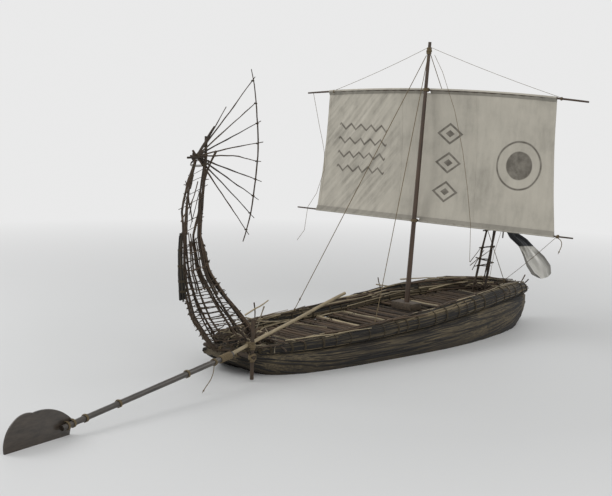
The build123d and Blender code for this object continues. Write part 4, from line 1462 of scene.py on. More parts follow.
class REEDBOAT_OT_fan(bpy.types.Operator):
    """Build the fan head: crooked ribs, the bowed rim and the ball of rope at the hub"""

    bl_idname = "reedboat.fan"
    bl_label = "Fan head"

    def execute(self, context):
        timber = context.scene.reed_boat_timber
        rng = random.Random(71)
        hub = Vector((FAN_HUB[0], FAN_SIDE, FAN_HUB[1]))
        ribs, ropes = [], []
        bows = [0.0, 0.0, 0.0, 0.012, 0.05, -0.01, 0.0, 0.008, 0.0]
        for (x, z), bow in zip(RIB_TIPS, bows):
            tip = Vector((x, FAN_SIDE, z))
            run = tip - hub
            over = run.normalized() * 0.055
            sag = UP * bow
            points = [hub - run.normalized() * rng.uniform(0.05, 0.10), hub + run * 0.35 + sag * 0.6,
                      hub + run * 0.65 + sag, tip - run * 0.04, tip + over]
            ribs.append(
                branch(rng, points, 0.0105, 0.0045, timber.crook * 0.45, rng.random() * 0.5, 0.1, 0.25)
            )
            crossing = self.rim_crossing(tip, hub)
            ropes.append(turns(crossing, Vector((0.3, 0, 1)), 0.018, 2.2, 0.007, 0.0032, rng.random()))
        top = Vector((RIB_TIPS[0][0], FAN_SIDE, RIB_TIPS[0][1])) - hub
        crook = timber.crook * 0.4
        stub = [hub, hub + top * 0.36 + Vector((-0.03, 0.012, 0.02))]
        ribs.append(branch(rng, stub, 0.017, 0.011, crook, 0.2, 0.08, 0.4))
        stick = [hub + top * 0.2 + Vector((0, 0.02, 0)), hub + top * 0.62 + Vector((-0.07, 0.02, 0.02))]
        ribs.append(branch(rng, stick, 0.007, 0.004, crook, 0.4))
        bar = [hub + Vector((-0.16, -0.03, -0.01)), hub + Vector((0.10, -0.03, -0.01))]
        ribs.append(branch(rng, bar, 0.013, 0.010, crook, 0.1))
        for tilt in range(9):
            angle = pi * tilt / 9
            axis = Vector((cos(angle), 0.35 * sin(3 * angle), sin(angle)))
            reach = 0.026 + 0.010 * rng.random()
            ropes.append(turns(hub, axis, reach, 2.2, 0.010, 0.0040, rng.random(), rng.random()))
        lay("fan_ribs", ribs, "Branch with bark", "fan", roundness=2)
        lay("fan_lashings", ropes, "Rope in painted shade")
        lay("fan_bow", [self.rim(rng)], "Branch with bark", "fan_rim", roundness=2)
        return {"FINISHED"}

    def rim_crossing(self, tip, hub):
        """Where a rib crosses the rim."""
        x, z, bend = arc_through(*FAN_RIM)
        run = (tip - hub).normalized()
        centre = Vector((x, FAN_SIDE, z))
        offset = hub - centre
        half = offset.dot(run)
        distance = -half + sqrt(half**2 - offset.length_squared + bend**2)
        place = hub + run * distance
        return Vector((place.x, (FAN_SIDE + FAN_RIM_SIDE) / 2, place.z))

    def rim(self, rng):
        """The bowed rim pole, thinner towards both ends."""
        x, z, _ = arc_through(*FAN_RIM)
        top, _, low = [Vector((px - x, pz - z)) for px, pz in FAN_RIM]
        turn = top.angle_signed(low)
        points, radii = [], []
        for share in shares(22):
            spot = Matrix.Rotation(-turn * share, 2) @ top
            wobble = 0.004 * sin(17 * share) + rng.uniform(-0.002, 0.002)
            points.append(Vector((x + spot.x + wobble, FAN_RIM_SIDE, z + spot.y)))
            radii.append(0.0095 * (1 - 0.5 * (1 - share) ** 4 - 0.35 * share**6) * rng.uniform(0.94, 1.08))
        return points, radii, 0.35


def ends_of(node):
    """Middle of a stick's two end faces, the upper one first."""
    vertices = [v.co for v in NODES[node].data.vertices]
    high = max(v.z for v in vertices)
    low = min(v.z for v in vertices)
    top = [v for v in vertices if v.z > high - 0.006]
    foot = [v for v in vertices if v.z < low + 0.006]
    return sum(top, Vector()) / len(top), sum(foot, Vector()) / len(foot)


def line_points(start, end, sag=0.0, count=24):
    """A hanging line between two points."""
    points = []
    for share in shares(count):
        points.append(start.lerp(end, share) - UP * sag * 4 * share * (1 - share))
    return points


class REEDBOAT_OT_mast(bpy.types.Operator):
    """Finish the mast and its step, and set up the stays"""

    bl_idname = "reedboat.mast"
    bl_label = "Mast and stays"

    def execute(self, context):
        rng = random.Random(83)
        points, radii = [], []
        for share in shares(30):
            points.append(mast_point(MAST_FOOT + (MAST_TIP - MAST_FOOT) * share))
            radii.append(mast_radius(share) * rng.uniform(0.975, 1.0))
        lay("mast_pole", [(points, radii, 0.4)], "Oiled spar", "mast", roundness=5)
        slant = MAST_UP + Vector((0.3, 0.3, 0))
        ropes = [
            turns(mast_point(MASTHEAD), MAST_UP, 0.031, 8, 0.0115, 0.0055, 0.5),
            turns(mast_point(MASTHEAD - 0.005), slant, 0.036, 2, 0.012, 0.0055, 0.4),
        ]
        lay("masthead_turns", ropes, "Hemp rope", "masthead")
        for name in ("backstay_port", "backstay_starboard", "forestay"):
            top, foot = ends_of(name)
            routes = [(line_points(top, foot, 0.0, 2), [0.005] * 3, 0.4)]
            run = (foot - top).normalized()
            knot = foot - run * 0.06
            routes.append(turns(knot, run, 0.0095, 5, 0.0085, 0.004, 0.6))
            routes.append(turns(knot - run * 0.16, run, 0.0085, 3, 0.0085, 0.004, 0.6))
            lay(f"{name}_rope", routes, "Hemp rope", name)
        dress(eased_copy("mast_step", "mast_block", "Hewn block", 2), "root", "mast_wood", "mast_step")
        return {"FINISHED"}


class REEDBOAT_OT_spars(bpy.types.Operator):
    """Finish the yard and the boom, their parrels and their lines"""

    bl_idname = "reedboat.spars"
    bl_label = "Yard and boom"

    def execute(self, context):
        rng = random.Random(91)
        yard, boom = [], []
        count = 34
        for share in shares(count):
            across = YARD[0][0] + (YARD[2][0] - YARD[0][0]) * share
            yard.append(rig_point(across, yard_height(across)))
            across = BOOM[0] + (BOOM[1] - BOOM[0]) * share
            boom.append(rig_point(across, BOOM[2]))
        shape = [1 - 0.28 * abs(2 * index / count - 1) ** 3 for index in range(count + 1)]
        for name, points, radius in (("yard", yard, YARD_RADIUS), ("boom", boom, BOOM_RADIUS)):
            radii = [radius * narrow * rng.uniform(0.95, 1.04) for narrow in shape]
            lay(f"{name}_pole", [(points, radii, 0.3)], "Oiled spar", name, body="rig", roundness=3)
        side, _ = rig_frame()
        for name, height, radius in (
            ("yard_parrel", yard_height(0), YARD_RADIUS), ("boom_parrel", BOOM[2], BOOM_RADIUS)
        ):
            ring = mast_radius((height - MAST_FOOT) / (MAST_TIP - MAST_FOOT)) + 0.0075
            routes = [
                turns(mast_point(height), MAST_UP, ring, 3.0, 0.0125, 0.006, 0.5),
                turns(rig_point(0, height), side, radius + 0.0085, 3.0, 0.0125, 0.006, 0.6),
            ]
            lay(f"{name}_turns", routes, "Hemp rope", name, body="rig")
        self.lines()
        return {"FINISHED"}

    def lines(self):
        """The lines that swing with the yard, and the boom's sheet, which runs down to the hull."""
        head = mast_point(MASTHEAD + 0.055)
        routes = []
        for across in (-1.5, 1.95):
            end = rig_point(across, yard_height(across) + 0.012)
            routes.append((line_points(head, end, 0.02), [0.0028] * 25, 0.5))
            tie = rig_point(across, yard_height(across))
            routes.append(turns(tie, rig_frame()[0], 0.0215, 3, 0.006, 0.0028))
        front = [(0.98, yard_height(0.98)), (1.16, 2.0), (1.22, 1.3), (1.235, 0.7), (1.2, 0.3), (1.17, -0.02)]
        hanging = [
            rig_point(across, height, 0.17 if 0.4 < height < 2.2 else 0.03) for across, height in front
        ]
        routes.append((hanging, [0.0028] * len(hanging), 0.5))
        slack = [rig_point(across, height, 0.0) for across, height in SLACK_LINE]
        over = [rig_point(across, height, -0.045) for across, height in SAIL_LINE]
        routes += [(slack, [0.003] * len(slack), 0.5), (over, [0.003] * len(over), 0.5)]
        lay("yard_lifts", routes, "Hemp rope", body="rig")
        low, high = Vector((2.25, -0.22, 0.66)), rig_point(2.06, BOOM[2] - 0.012)
        sheet = rods(
            "boom_sheet", [(line_points(low, high, 0.015, 40), [0.0032] * 41, 0.5)], finish("Hemp rope")
        )
        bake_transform(sheet)


class REEDBOAT_OT_sail(bpy.types.Operator):
    """Make the canvas sail with its sleeves, seams and hems"""

    bl_idname = "reedboat.sail"
    bl_label = "Sail"

    columns = 220
    rows = 90
    flap_rows = 5
    wrap = 0.004
    thickness = 0.0016
    finishes = ("Cotton canvas", "Doubled canvas in painted shade")
    # Heights over which the edges and the seams run, as the rig is measured
    head = 2.36
    seam_rise = 1.8

    def execute(self, context):
        settings = context.scene.reed_boat_cloth
        grid = [self.column(share, settings) for share in shares(self.columns)]
        count = len(grid[0])
        vertices = [place for line in grid for place, _ in line]
        places = [uv for line in grid for _, uv in line]
        faces, doubled_in_shade = [], []
        for column in range(self.columns):
            for row in range(count - 1):
                corner = column * count + row
                if not self.in_notch(places[corner], places[corner + count]):
                    faces.append((corner, corner + count, corner + count + 1, corner + 1))
                    # Faces of the sleeves' flaps take the second finish, the canvas in painted shade.
                    doubled_in_shade.append(row < self.flap_rows or row > count - self.flap_rows - 2)
        sail = cloth_piece("sail_cloth", vertices, faces, places, self.thickness, self.finishes, doubled_in_shade)
        dress(sail, "rig", "canvas", "sail")
        seams = self.seams(settings)
        return {"FINISHED"}

    def edges(self, height):
        """Left and right edge of the cloth at a height, hollowed a little between the spars."""
        share = min(max((height - BOOM[2]) / (self.head - BOOM[2]), 0), 1)
        hollow = 0.022 * sin(pi * share)
        left = SAIL_FOOT[0] + (SAIL_HEAD[0] - SAIL_FOOT[0]) * share + hollow
        right = SAIL_FOOT[1] + (SAIL_HEAD[1] - SAIL_FOOT[1]) * share - hollow
        return left, right

    def surface(self, share, height, settings):
        """Across and ahead of the cloth at a share of its width and a height."""
        left, right = self.edges(height)
        across = left + (right - left) * share
        top = yard_height(across)
        rise = min(max((height - BOOM[2]) / (top - BOOM[2]), 0), 1)
        hold = sin(pi * rise)
        belly = settings.belly * sin(pi * share) ** 0.7 * hold**0.8
        folds = 0.011 * sin(2 * pi * (share * 13 + 0.35 * sin(2.4 * rise + 4 * share)))
        folds *= hold**0.5 * (0.25 + 0.75 * min(1.0, max(0.0, share * 2.2 - 1.0)))
        slant = across * 0.82 - height * 0.57
        creased = max(0.0, 1 - abs(across + 0.98) / 0.7) * hold**0.6
        creases = (
            0.011 * sin(2 * pi * slant * 4.6 + 2 * across) + 0.004 * sin(2 * pi * slant * 13)
        ) * creased
        drape = 0.012 * noise.noise(Vector((across * 1.7, height * 1.5, 3.1))) * hold
        fine = 0.003 * noise.noise(Vector((across * 9, height * 4, 1.7))) * min(1.0, 4 * hold)
        gather = 0.004 * sin(2 * pi * across * 7.3) * (1 - hold) ** 4
        ahead = BOOM_RADIUS + self.wrap + belly + folds + creases + drape + fine + gather
        return across, ahead

    def column(self, share, settings):
        """The cloth's line at one share of its width, from the lower flap's edge to the upper's."""
        line = []
        low = BOOM[2]
        foot, _ = self.surface(share, low, settings)
        head, _ = self.surface(share, yard_height(foot), settings)
        top = yard_height(head)
        low_round, top_round = BOOM_RADIUS + self.wrap, YARD_RADIUS + self.wrap
        for index in range(self.flap_rows):
            height = low + settings.boom_sleeve * (1 - index / self.flap_rows)
            across, ahead = self.surface(share, height, settings)
            slack = (1 - index / self.flap_rows) ** 0.7
            line.append((across, height, (ahead - 0.006) * slack - low_round * (1 - slack)))
        for index in range(9):
            angle = pi * index / 8
            line.append((foot, low - low_round * sin(angle), -low_round * cos(angle)))
        for index in range(1, self.rows):
            height = low + (top - low) * index / self.rows
            across, ahead = self.surface(share, height, settings)
            line.append((across, height, ahead))
        for index in range(9):
            angle = pi * index / 8
            line.append((head, top + top_round * sin(angle), top_round * cos(angle)))
        for index in range(1, self.flap_rows + 1):
            height = top - settings.yard_sleeve * index / self.flap_rows
            across, ahead = self.surface(share, height, settings)
            slack = (index / self.flap_rows) ** 0.7
            line.append((across, height, (ahead - 0.006) * slack - top_round * (1 - slack)))
        return [(rig_point(a, h, d), (a, h)) for a, h, d in line]

    def in_notch(self, low, high):
        """Whether a face lies where a parrel passes through a sleeve."""
        across = (low[0] + high[0]) / 2
        near_spar = min(abs(low[1] - BOOM[2]), abs(low[1] - yard_height(across)))
        return abs(across) < 0.042 and near_spar < 0.045

    def seams(self, settings):
        """Overlapped seams between the cloths, and the hems at the sides."""
        vertices, faces, places = [], [], []
        strips = [
            (lambda h: -0.33 - 0.09 * (h - BOOM[2]) / self.seam_rise, 0.022),
            (lambda h: 0.84 - 0.13 * (h - BOOM[2]) / self.seam_rise, 0.022),
            (lambda h: self.edges(h)[0] + 0.018, 0.034), (lambda h: self.edges(h)[1] - 0.018, 0.034),
        ]
        for strip, width in strips:
            start = len(vertices)
            for index in range(self.rows + 1):
                middle = strip(BOOM[2])
                top = yard_height(middle)
                height = BOOM[2] + 0.004 + (top - BOOM[2] - 0.008) * index / self.rows
                left, right = self.edges(height)
                centre = strip(height)
                for edge in (-0.5, 0.5):
                    share = (centre + edge * width - left) / (right - left)
                    across, ahead = self.surface(min(max(share, 0), 1), height, settings)
                    vertices.append(rig_point(across, height, ahead - 0.0024))
                    places.append((across, height))
            for index in range(self.rows):
                corner = start + 2 * index
                faces.append((corner, corner + 1, corner + 3, corner + 2))
        piece = cloth_piece("sail_seams", vertices, faces, places, self.thickness, self.finishes)
        return dress(piece, "rig", "canvas")


class REEDBOAT_OT_oar(bpy.types.Operator):
    """Finish the steering oar: crooked pole, soaked loom, splice, blade and grommet"""

    bl_idname = "reedboat.oar"
    bl_label = "Steering oar"

    def execute(self, context):
        rng = random.Random(101)
        _, pole, loom, loom_up = oar_frame()
        kink = OAR_EYE + pole * KINK
        start, end = OAR_EYE - pole * POLE_INBOARD, kink + pole * POLE_PAST_KINK
        points, radii = [], []
        for share in shares(28):
            points.append(start.lerp(end, share) + loom_up * 0.004 * sin(11 * share))
            radii.append(POLE_RADIUS * rng.uniform(0.93, 1.0) * (0.9 + 0.1 * min(1, 3 * share)))
        lay("inner_pole", [(points, radii, 0.75)], "Peeled branch", "oar_pole", body="oar", roundness=4)
        start = kink - loom * LOOM_SOCKET
        points, radii = [], []
        count = 56
        for index in range(count + 1):
            distance = LOOM_LENGTH * index / count
            at = distance - LOOM_SOCKET
            swell = sum(0.13 * max(0, 1 - abs(at - knot) / 0.05) for knot in LOOM_KNOTS)
            points.append(start + loom * distance)
            radii.append(loom_radius(at) * (rng.uniform(0.965, 1.0) + swell))
        routes = [(points, radii, 0.35)]
        lay("soaked_loom", routes, "Soaked wood", "oar_loom", body="oar", roundness=5)
        ropes = [turns(kink, loom, 0.0415, 17, 0.0118, 0.0058, 0.5)]
        for knot in LOOM_KNOTS:
            ropes.append(turns(kink + loom * knot, loom, loom_radius(knot) + 0.009, 3, 0.0095, 0.0046, 0.3))
        lay("splice_turns", ropes, "Hemp rope", "oar_splice", body="oar")
        self.blade(kink, loom, loom_up)
        self.grommet(pole)
        return {"FINISHED"}

    def blade(self, kink, loom, loom_up):
        """The board with eased edges, and the rope that binds it to the loom."""
        blade = eased_copy("oar_blade", "blade_board", "Soaked board", 3, sharp=50, flatten=True)
        dress(blade, "oar", "wet_wood", "oar_blade")
        ropes = []
        side = loom.cross(loom_up).normalized()
        for at in (2.50, 2.58):
            centre = kink + loom * at + side * self.board_side(at) * 0.5
            reach = loom_radius(at) + BLADE_OFFSET
            ring = []
            for index in range(3 * 20 + 1):
                angle = 2 * pi * index / 20
                drift = 0.009 * (index / 20 - 1.5)
                across = side * cos(angle) * reach * 0.86
                ring.append(centre + loom * drift + across + loom_up * sin(angle) * (loom_radius(at) + 0.01))
            ropes.append((ring, [0.0046] * len(ring), 0.3))
        lay("blade_lashings", ropes, "Hemp rope", body="oar")

    def board_side(self, at):
        """Which side of the loom the board lies on, and how far its middle is from the axis."""
        _, pole, loom, loom_up = oar_frame()
        side = loom.cross(loom_up).normalized()
        low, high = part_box("oar_blade")
        offset = ((low + high) / 2 - (OAR_EYE + pole * KINK + loom * at)).dot(side)
        return BLADE_OFFSET if offset > 0 else -BLADE_OFFSET

    def grommet(self, pole):
        """Rope turns round the oar and its post, and the post with its whipping."""
        low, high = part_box("oar_post")
        post = Vector(((low.x + high.x) / 2, (low.y + high.y) / 2, 0))
        lashed = post + UP * OAR_EYE.z
        routes = []
        for lift in (-0.016, 0.0, 0.016):
            eye = OAR_EYE + pole * lift * 0.55
            routes.append(turns(eye, pole, POLE_RADIUS + 0.0095, 1.0, 0.0, 0.0075, 0.5, steps=18))
            routes.append(
                turns(lashed + UP * lift, UP, POST_RADIUS + 0.0095, 1.0, 0.0, 0.0078, 0.4, steps=18)
            )
        lay("grommet_turns", routes, "Hemp rope", "oar_grommet", body="oar_lashing")
        rng = random.Random(107)
        foot, top = post + UP * low.z, post + UP * high.z
        stick = branch(rng, [foot, top], 0.0235, 0.022, 0.0, 0.4, 0.12, 0.0)
        snag = branch(
            rng, [top - UP * 0.12, top + Vector((0.03, -0.04, 0.03))], 0.012, 0.008, 0.001, 0.4, 0.05
        )
        lay("oar_post_branch", [stick, snag], "Branch with bark", "oar_post", roundness=3)
        whip = [turns(post + UP * z, UP, 0.0275, 4, 0.0095, 0.0046, 0.4) for z in (0.30, 0.25)]
        whip += [turns(lashed + UP * z, UP, 0.0275, 2, 0.0085, 0.0046, 0.4) for z in (-0.037, 0.037)]
        lay("oar_post_lashings", whip, "Hemp rope")
        low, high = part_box("stern_beam")
        x, z = (low.x + high.x) / 2, (low.z + high.z) / 2
        ends = [Vector((x, low.y - 0.03, z)), Vector((x, high.y + 0.03, z))]
        beam = branch(rng, ends, 0.028, 0.024, 0.004, 0.3, 0.15, 0.2)
        lay("stern_beam_branch", [beam], "Branch with bark", "stern_beam", roundness=3)
        side = Vector((0, 1, 0))
        ropes = cross_lashing(Vector((x, post.y, z)), side, UP, 0.05, 0.006)
        ropes += [turns(Vector((x, y, z)), side, 0.034, 4, 0.012, 0.0055, 0.4) for y in (-0.3, 0.0, 0.2)]
        lay("stern_beam_lashings", ropes, "Hemp rope")


class REEDBOAT_OT_bow(bpy.types.Operator):
    """Build the bow frame from crooked poles and rungs, and the sticks that lean in it"""

    bl_idname = "reedboat.bow"
    bl_label = "Bow frame"

    # Corners: x at the foot and at the top, which side of the centreline, and z where it starts
    corners = [(1.99, 2.40, -1, None), (2.28, 2.50, -1, 1.416), (2.28, 2.50, 1, None), (1.99, 2.40, 1, None)]
    foot_spread = 0.11
    rungs = [0.89, 0.975, 1.17, 1.425, 1.72, 2.01]
    leaning = [
        ((1.71, -0.05, 0.99), (1.99, -0.02, 1.18)),
        ((1.89, 0.05, 0.84), (2.09, 0.0, 1.13)),
        ((1.65, -0.10, 0.95), (2.17, -0.08, 1.15)),
        ((2.10, 0.02, 0.60), (2.42, 0.0, 1.60)),
    ]
    top = 2.15
    top_spread = 0.045

    def execute(self, context):
        timber = context.scene.reed_boat_timber
        rng = random.Random(113)
        foot_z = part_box("bow_frame")[0].z
        poles, ropes = [], []
        for corner in self.corners:
            ends = [self.leg_point(corner, z, foot_z) for z in (corner[3] or foot_z, self.top)]
            poles.append(branch(rng, ends, 0.017, 0.012, timber.crook * 0.7, rng.random(), 0.14, 0.3))
            twin = [p + Vector((rng.uniform(-0.02, 0.02), rng.uniform(-0.02, 0.02), 0)) for p in ends]
            twin[1] = ends[0].lerp(ends[1], rng.uniform(0.5, 0.95))
            poles.append(branch(rng, twin, 0.009, 0.006, timber.crook, rng.random(), 0.12))
        for z in self.rungs:
            places = [
                self.leg_point(corner, z + rng.uniform(-0.02, 0.02), foot_z)
                for corner in self.corners if z > (corner[3] or 0)
            ]
            for a, b in zip(places, places[1:] + places[:1]):
                over = (b - a).normalized() * rng.uniform(0.02, 0.10)
                rung = [a - over, b + over]
                poles.append(branch(rng, rung, 0.009, 0.007, timber.crook * 0.5, rng.random(), 0.07))
                ropes.append(turns(a, UP, 0.021, 2.5, 0.008, 0.004, rng.random(), rng.random()))
        for low, high in self.leaning:
            ends = [Vector(low), Vector(high)]
            poles.append(branch(rng, ends, 0.006, 0.004, timber.crook, rng.random(), 0.12))
        lay("bow_poles", poles, "Branch with bark", "bow_frame", roundness=2)
        lay("bow_lashings", ropes, "Rope in painted shade")
        return {"FINISHED"}

    def leg_point(self, corner, z, foot_z):
        """Point on one pole of the frame at a height."""
        foot_x, top_x, side, _ = corner
        share = (z - foot_z) / (self.top - foot_z)
        across = side * (self.foot_spread + (self.top_spread - self.foot_spread) * share)
        return Vector((foot_x + (top_x - foot_x) * share, across, z))


class REEDBOAT_OT_brush(bpy.types.Operator):
    """Scatter the loose sticks at the stern, the bow and along the hull's side"""

    bl_idname = "reedboat.brush"
    bl_label = "Loose sticks"

    heaps = [
        # middle, spread, sticks, length, steepness
        ((-2.55, 0.0, 0.40), (0.28, 0.40, 0.04), 60, (0.25, 0.75), 0.35),
        ((2.25, 0.0, 0.56), (0.28, 0.24, 0.05), 70, (0.2, 0.55), 0.35),
        ((2.75, 0.0, 0.55), (0.15, 0.10, 0.04), 26, (0.15, 0.35), 0.5),
    ]
    placed = [
        # route, radius, and whether it is peeled
        (((-2.32, 0.30, 0.59), (-1.93, 0.30, 0.74)), 0.011, True),
        (((-2.32, 0.30, 0.56), (-2.16, 0.15, 0.52), (-1.64, 0.10, 0.44), (-1.35, -0.20, 0.40)), 0.010, True),
        (((-2.09, 0.20, 0.69), (-2.30, 0.10, 0.45)), 0.009, True),
        (((-2.96, -0.10, 0.37), (-2.92, -0.10, 0.44)), 0.009, True),
        (((-2.84, -0.20, 0.39), (-2.74, -0.25, 0.37)), 0.009, True),
        (((-2.40, 0.10, 0.48), (-2.36, 0.05, 0.42)), 0.010, True),
        (((-2.85, -0.05, 0.43), (-2.67, 0.0, 0.44)), 0.009, True),
        (((-2.78, -0.42, 0.38), (-2.61, -0.50, 0.37)), 0.009, True),
        (((-2.73, -0.40, 0.375), (-2.63, -0.45, 0.385)), 0.007, True),
        (((-2.04, 0.45, 0.70), (-2.02, 0.45, 0.50)), 0.010, False),
        (((0.36, 0.55, 0.70), (0.58, 0.50, 0.66)), 0.010, True),
        (((0.10, 0.50, 0.63), (0.38, 0.40, 0.54)), 0.010, False),
        (((0.18, 0.45, 0.55), (0.61, 0.50, 0.56)), 0.008, True),
        (((0.15, 0.50, 0.57), (0.52, 0.50, 0.61)), 0.007, True),
        (((1.68, 0.48, 0.56), (2.45, 0.42, 0.55)), 0.011, True),
        (((1.65, 0.55, 0.60), (2.20, 0.43, 0.60), (2.86, 0.30, 0.55)), 0.010, True),
        (((0.95, 0.62, 0.71), (1.71, 0.60, 0.67)), 0.010, True),
        (((0.82, 0.60, 0.65), (2.01, 0.55, 0.64)), 0.009, True),
        (((0.47, 0.62, 0.78), (0.51, 0.60, 0.60)), 0.009, False),
        (((3.07, -0.05, 0.68), (2.93, -0.05, 0.50)), 0.010, False),
        (((3.16, -0.05, 0.60), (2.92, -0.10, 0.54)), 0.010, False),
        (((-1.87, -0.60, 0.44), (-1.68, -0.62, 0.46)), 0.008, True),
        (((-1.84, -0.66, 0.41), (-1.50, -0.68, 0.43)), 0.007, True),
        (((-1.61, -0.66, 0.44), (-1.20, -0.68, 0.44)), 0.008, True),
    ]

    def execute(self, context):
        timber = context.scene.reed_boat_timber
        rng = random.Random(127)
        bark, pale = [], []
        for middle, spread, number, (shortest, longest), steep in self.heaps:
            for index in range(number):
                centre = Vector([m + rng.gauss(0, s * 0.5) for m, s in zip(middle, spread)])
                heading = rng.uniform(0, pi)
                run = Vector((cos(heading), sin(heading), rng.uniform(-steep, steep)))
                half = run.normalized() * rng.uniform(shortest, longest) / 2
                points = [self.above_deck(centre - half), self.above_deck(centre + half)]
                radius = rng.uniform(0.005, 0.012)
                target = pale if index % 4 == 0 else bark
                target.append(branch(rng, points, radius, radius * 0.5, timber.crook, rng.random(), 0.1))
        for route, radius, peeled in self.placed:
            points = [Vector(point) for point in route]
            target = pale if peeled else bark
            target.append(branch(rng, points, radius, radius * 0.7, timber.crook * 0.6, rng.random(), 0.1))
        for x in (-2.1, -1.2, -0.3, 0.4, 1.1, 1.7):
            for _ in range(3):
                start = Vector((x + rng.uniform(-0.3, 0.3), rng.choice((-1, 1)) * 0.1, 0))
                axis, radius = gunwale_axis(start.x)
                side = 1 if start.y > 0 else -1
                low = Vector((start.x, side * (axis.y + radius * 0.9), axis.z + rng.uniform(-0.06, 0.05)))
                high = low + Vector((rng.uniform(0.1, 0.3), side * -0.03, rng.uniform(0.02, 0.09)))
                bark.append(branch(rng, [low, high], 0.008, 0.005, timber.crook * 0.5, rng.random(), 0.08))
        lay("loose_branches", bark, "Branch with bark")
        lay("loose_peeled", pale, "Peeled branch")
        return {"FINISHED"}

    deck_top = 0.33
    # The oar pole's sweep inboard of its eye: its bounds across, its least rise, and the room left round it
    pole_sweep = (-0.12, 0.51)
    pole_rise = 0.087
    pole_room = 0.06

    def above_deck(self, place):
        """Keep a stick's end from sinking into the hull, and below the oar's pole wherever that swings."""
        place.z = max(place.z, self.deck_top)
        inboard = place.x - OAR_EYE.x
        low, high = (OAR_EYE.y + inboard * slope for slope in self.pole_sweep)
        if inboard > 0 and low - self.pole_room < place.y < high + self.pole_room:
            place.z = min(place.z, OAR_EYE.z + inboard * self.pole_rise - self.pole_room)
        return place


class REEDBOAT_OT_flag(bpy.types.Operator):
    """Hang the striped flag on its staff"""

    bl_idname = "reedboat.flag"
    bl_label = "Flag"

    heading = -37
    stripe_slant = 0.233
    sag = 0.045
    fold, fine_fold = 0.030, 0.008

    def execute(self, context):
        settings = context.scene.reed_boat_timber
        rng = random.Random(131)
        top, foot = ends_of("flag_staff")
        staff = branch(rng, [foot, top], 0.010, 0.008, settings.crook * 0.2, 0.4, 0.12)
        lay("flag_stick", [staff], "Branch with bark", "flag_staff", roundness=2)
        up = (top - foot).normalized()
        side = Vector((cos(radians(self.heading)), sin(radians(self.heading)), 0)).cross(up).normalized()
        run = up.cross(side)
        columns, rows = 60, 40
        vertices, places, faces = [], [], []
        for share in shares(columns):
            for row in range(rows + 1):
                drop = row / rows
                flat, fold = self.cloth_point(share, drop)
                vertices.append(foot + run * flat.x + up * flat.y + side * fold)
                places.append((share + self.stripe_slant * (drop - 1), drop))
        for column in range(columns):
            for row in range(rows):
                corner = column * (rows + 1) + row
                faces.append((corner, corner + 1, corner + rows + 2, corner + rows + 1))
        flag = cloth_piece("flag_cloth", vertices, faces, places, 0.0015, ["Wool bunting"])
        dress(flag, "root", "flag_cloth", "flag")
        return {"FINISHED"}

    def cloth_point(self, share, drop):
        """Place of the drooping cloth out from the staff and up it, and how far it folds sideways."""
        upper, lower = (along(edge, share * run_length(edge)) for edge in FLAG_EDGES)
        flat = upper.lerp(lower, drop)
        flat.y -= self.sag * sin(pi * drop) * share**6
        ease = min(1.0, share * 5)
        folds = self.fold * sin(2 * pi * (drop * 1.6 + share * 0.9)) * ease
        folds += self.fine_fold * sin(2 * pi * (drop * 4 - share * 2)) * ease
        return flat, folds


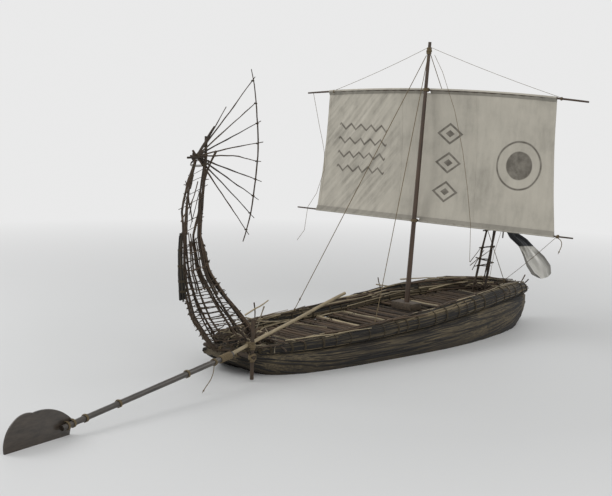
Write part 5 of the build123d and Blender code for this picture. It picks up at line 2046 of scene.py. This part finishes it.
class REEDBOAT_OT_studio(bpy.types.Operator):
    """Add the floor at the waterline, the soft lights and the pale room"""

    bl_idname = "reedboat.studio"
    bl_label = "Studio"

    # Distances from the boat between which the floor fades into the background
    fade_from = 4.5
    fade_to = 15.0

    def execute(self, context):
        settings = context.scene.reed_boat_studio
        bpy.ops.mesh.primitive_plane_add(size=900, location=(0, 0, 0))
        floor = context.object
        floor.name = "floor"
        material, tree, surface = start_material("Floor")
        fill(surface, {"Base Color": (*settings.floor, 1), "Roughness": 0.6})
        self.fade(tree, surface)
        material.cycles.emission_sampling = "NONE"
        floor.data.materials.append(material)
        world = bpy.data.worlds.new("room")
        world.use_nodes = True
        context.scene.world = world
        tree = world.node_tree
        background = tree.nodes["Background"]
        rays = add(tree, "LightPath")
        seen = rays.outputs["Is Camera Ray"]
        for other in ("Is Glossy Ray", "Is Transmission Ray"):
            seen = add(tree, "Math", {"operation": "MAXIMUM", 0: seen, 1: rays.outputs[other]})
        level = add(tree, "MapRange", {"To Min": settings.strength, "To Max": BACKGROUND, "Value": seen})
        fill(background, {"Color": (1, 1, 1, 1), "Strength": level})
        for name, place, size, power in (
            ("key_light", (-9, 7, 9), 7, 620), ("fill_light", (-8, -13, 8), 9, 420),
            ("bow_light", (10, -5, 8), 7, 260),
        ):
            aim = (Vector((0, 0, 1.2)) - Vector(place)).to_track_quat("-Z", "Y").to_euler()
            bpy.ops.object.light_add(type="AREA", location=place, rotation=aim)
            lamp = context.object
            lamp.name = name
            lamp.data.size = size
            lamp.data.energy = power
        context.scene.view_settings.view_transform = "Standard"
        return {"FINISHED"}

    def fade(self, tree, surface):
        """Far from the boat, the floor shows the background's own tone, so that no horizon is seen."""
        place = add(tree, "TexCoord").outputs["Object"]
        reach = add(tree, "VectorMath", {"operation": "LENGTH", 0: place}).outputs["Value"]
        far = add(tree, "MapRange", {"From Min": self.fade_from, "From Max": self.fade_to, "Value": reach})
        rays = add(tree, "LightPath")
        amount = add(tree, "Math", {"operation": "MULTIPLY", 0: far, 1: rays.outputs["Is Camera Ray"]})
        plain = add(tree, "Emission", {"Color": (1, 1, 1, 1), "Strength": BACKGROUND})
        mixed = add(tree, "MixShader", {0: amount, 1: surface, 2: plain})
        fill(tree.nodes["Material Output"], {"Surface": mixed})


class REEDBOAT_PT_panel(bpy.types.Panel):
    """Lists the steps that dress the boat"""

    bl_idname = "REEDBOAT_PT_panel"
    bl_label = "Reed boat"
    bl_space_type = "VIEW_3D"
    bl_region_type = "UI"
    bl_category = "Reed boat"

    def draw(self, context):
        for settings, group in zip(SETTINGS, PROPERTY_NAMES):
            box = self.layout.box()
            for key in settings.__annotations__:
                box.prop(getattr(context.scene, group), key)
        for step in STEPS:
            self.layout.operator(step.bl_idname)


SETTINGS = [ReedSettings, TimberSettings, RopeSettings, ClothSettings, StudioSettings]
PROPERTY_NAMES = [
    "reed_boat_reeds", "reed_boat_timber", "reed_boat_rope", "reed_boat_cloth", "reed_boat_studio",
]
STEPS = [
    REEDBOAT_OT_camera, REEDBOAT_OT_cords, REEDBOAT_OT_hull, REEDBOAT_OT_gunwales, REEDBOAT_OT_decks,
    REEDBOAT_OT_trunk, REEDBOAT_OT_fan, REEDBOAT_OT_mast, REEDBOAT_OT_spars, REEDBOAT_OT_sail,
    REEDBOAT_OT_oar, REEDBOAT_OT_bow, REEDBOAT_OT_brush, REEDBOAT_OT_flag, REEDBOAT_OT_studio,
]


def register():
    """Register the settings, the operators and the panel."""
    for item in (*SETTINGS, *STEPS, REEDBOAT_PT_panel):
        bpy.utils.register_class(item)
    for name, settings in zip(PROPERTY_NAMES, SETTINGS):
        setattr(bpy.types.Scene, name, PointerProperty(type=settings))


def unregister():
    """Remove them again."""
    for name in PROPERTY_NAMES:
        delattr(bpy.types.Scene, name)
    for item in reversed((*SETTINGS, *STEPS, REEDBOAT_PT_panel)):
        bpy.utils.unregister_class(item)


def main():
    """Dress the boat, step by step."""
    register()
    for step in STEPS:
        area, name = step.bl_idname.split(".")
        getattr(getattr(bpy.ops, area), name)()


if __name__ == "__main__":
    main()
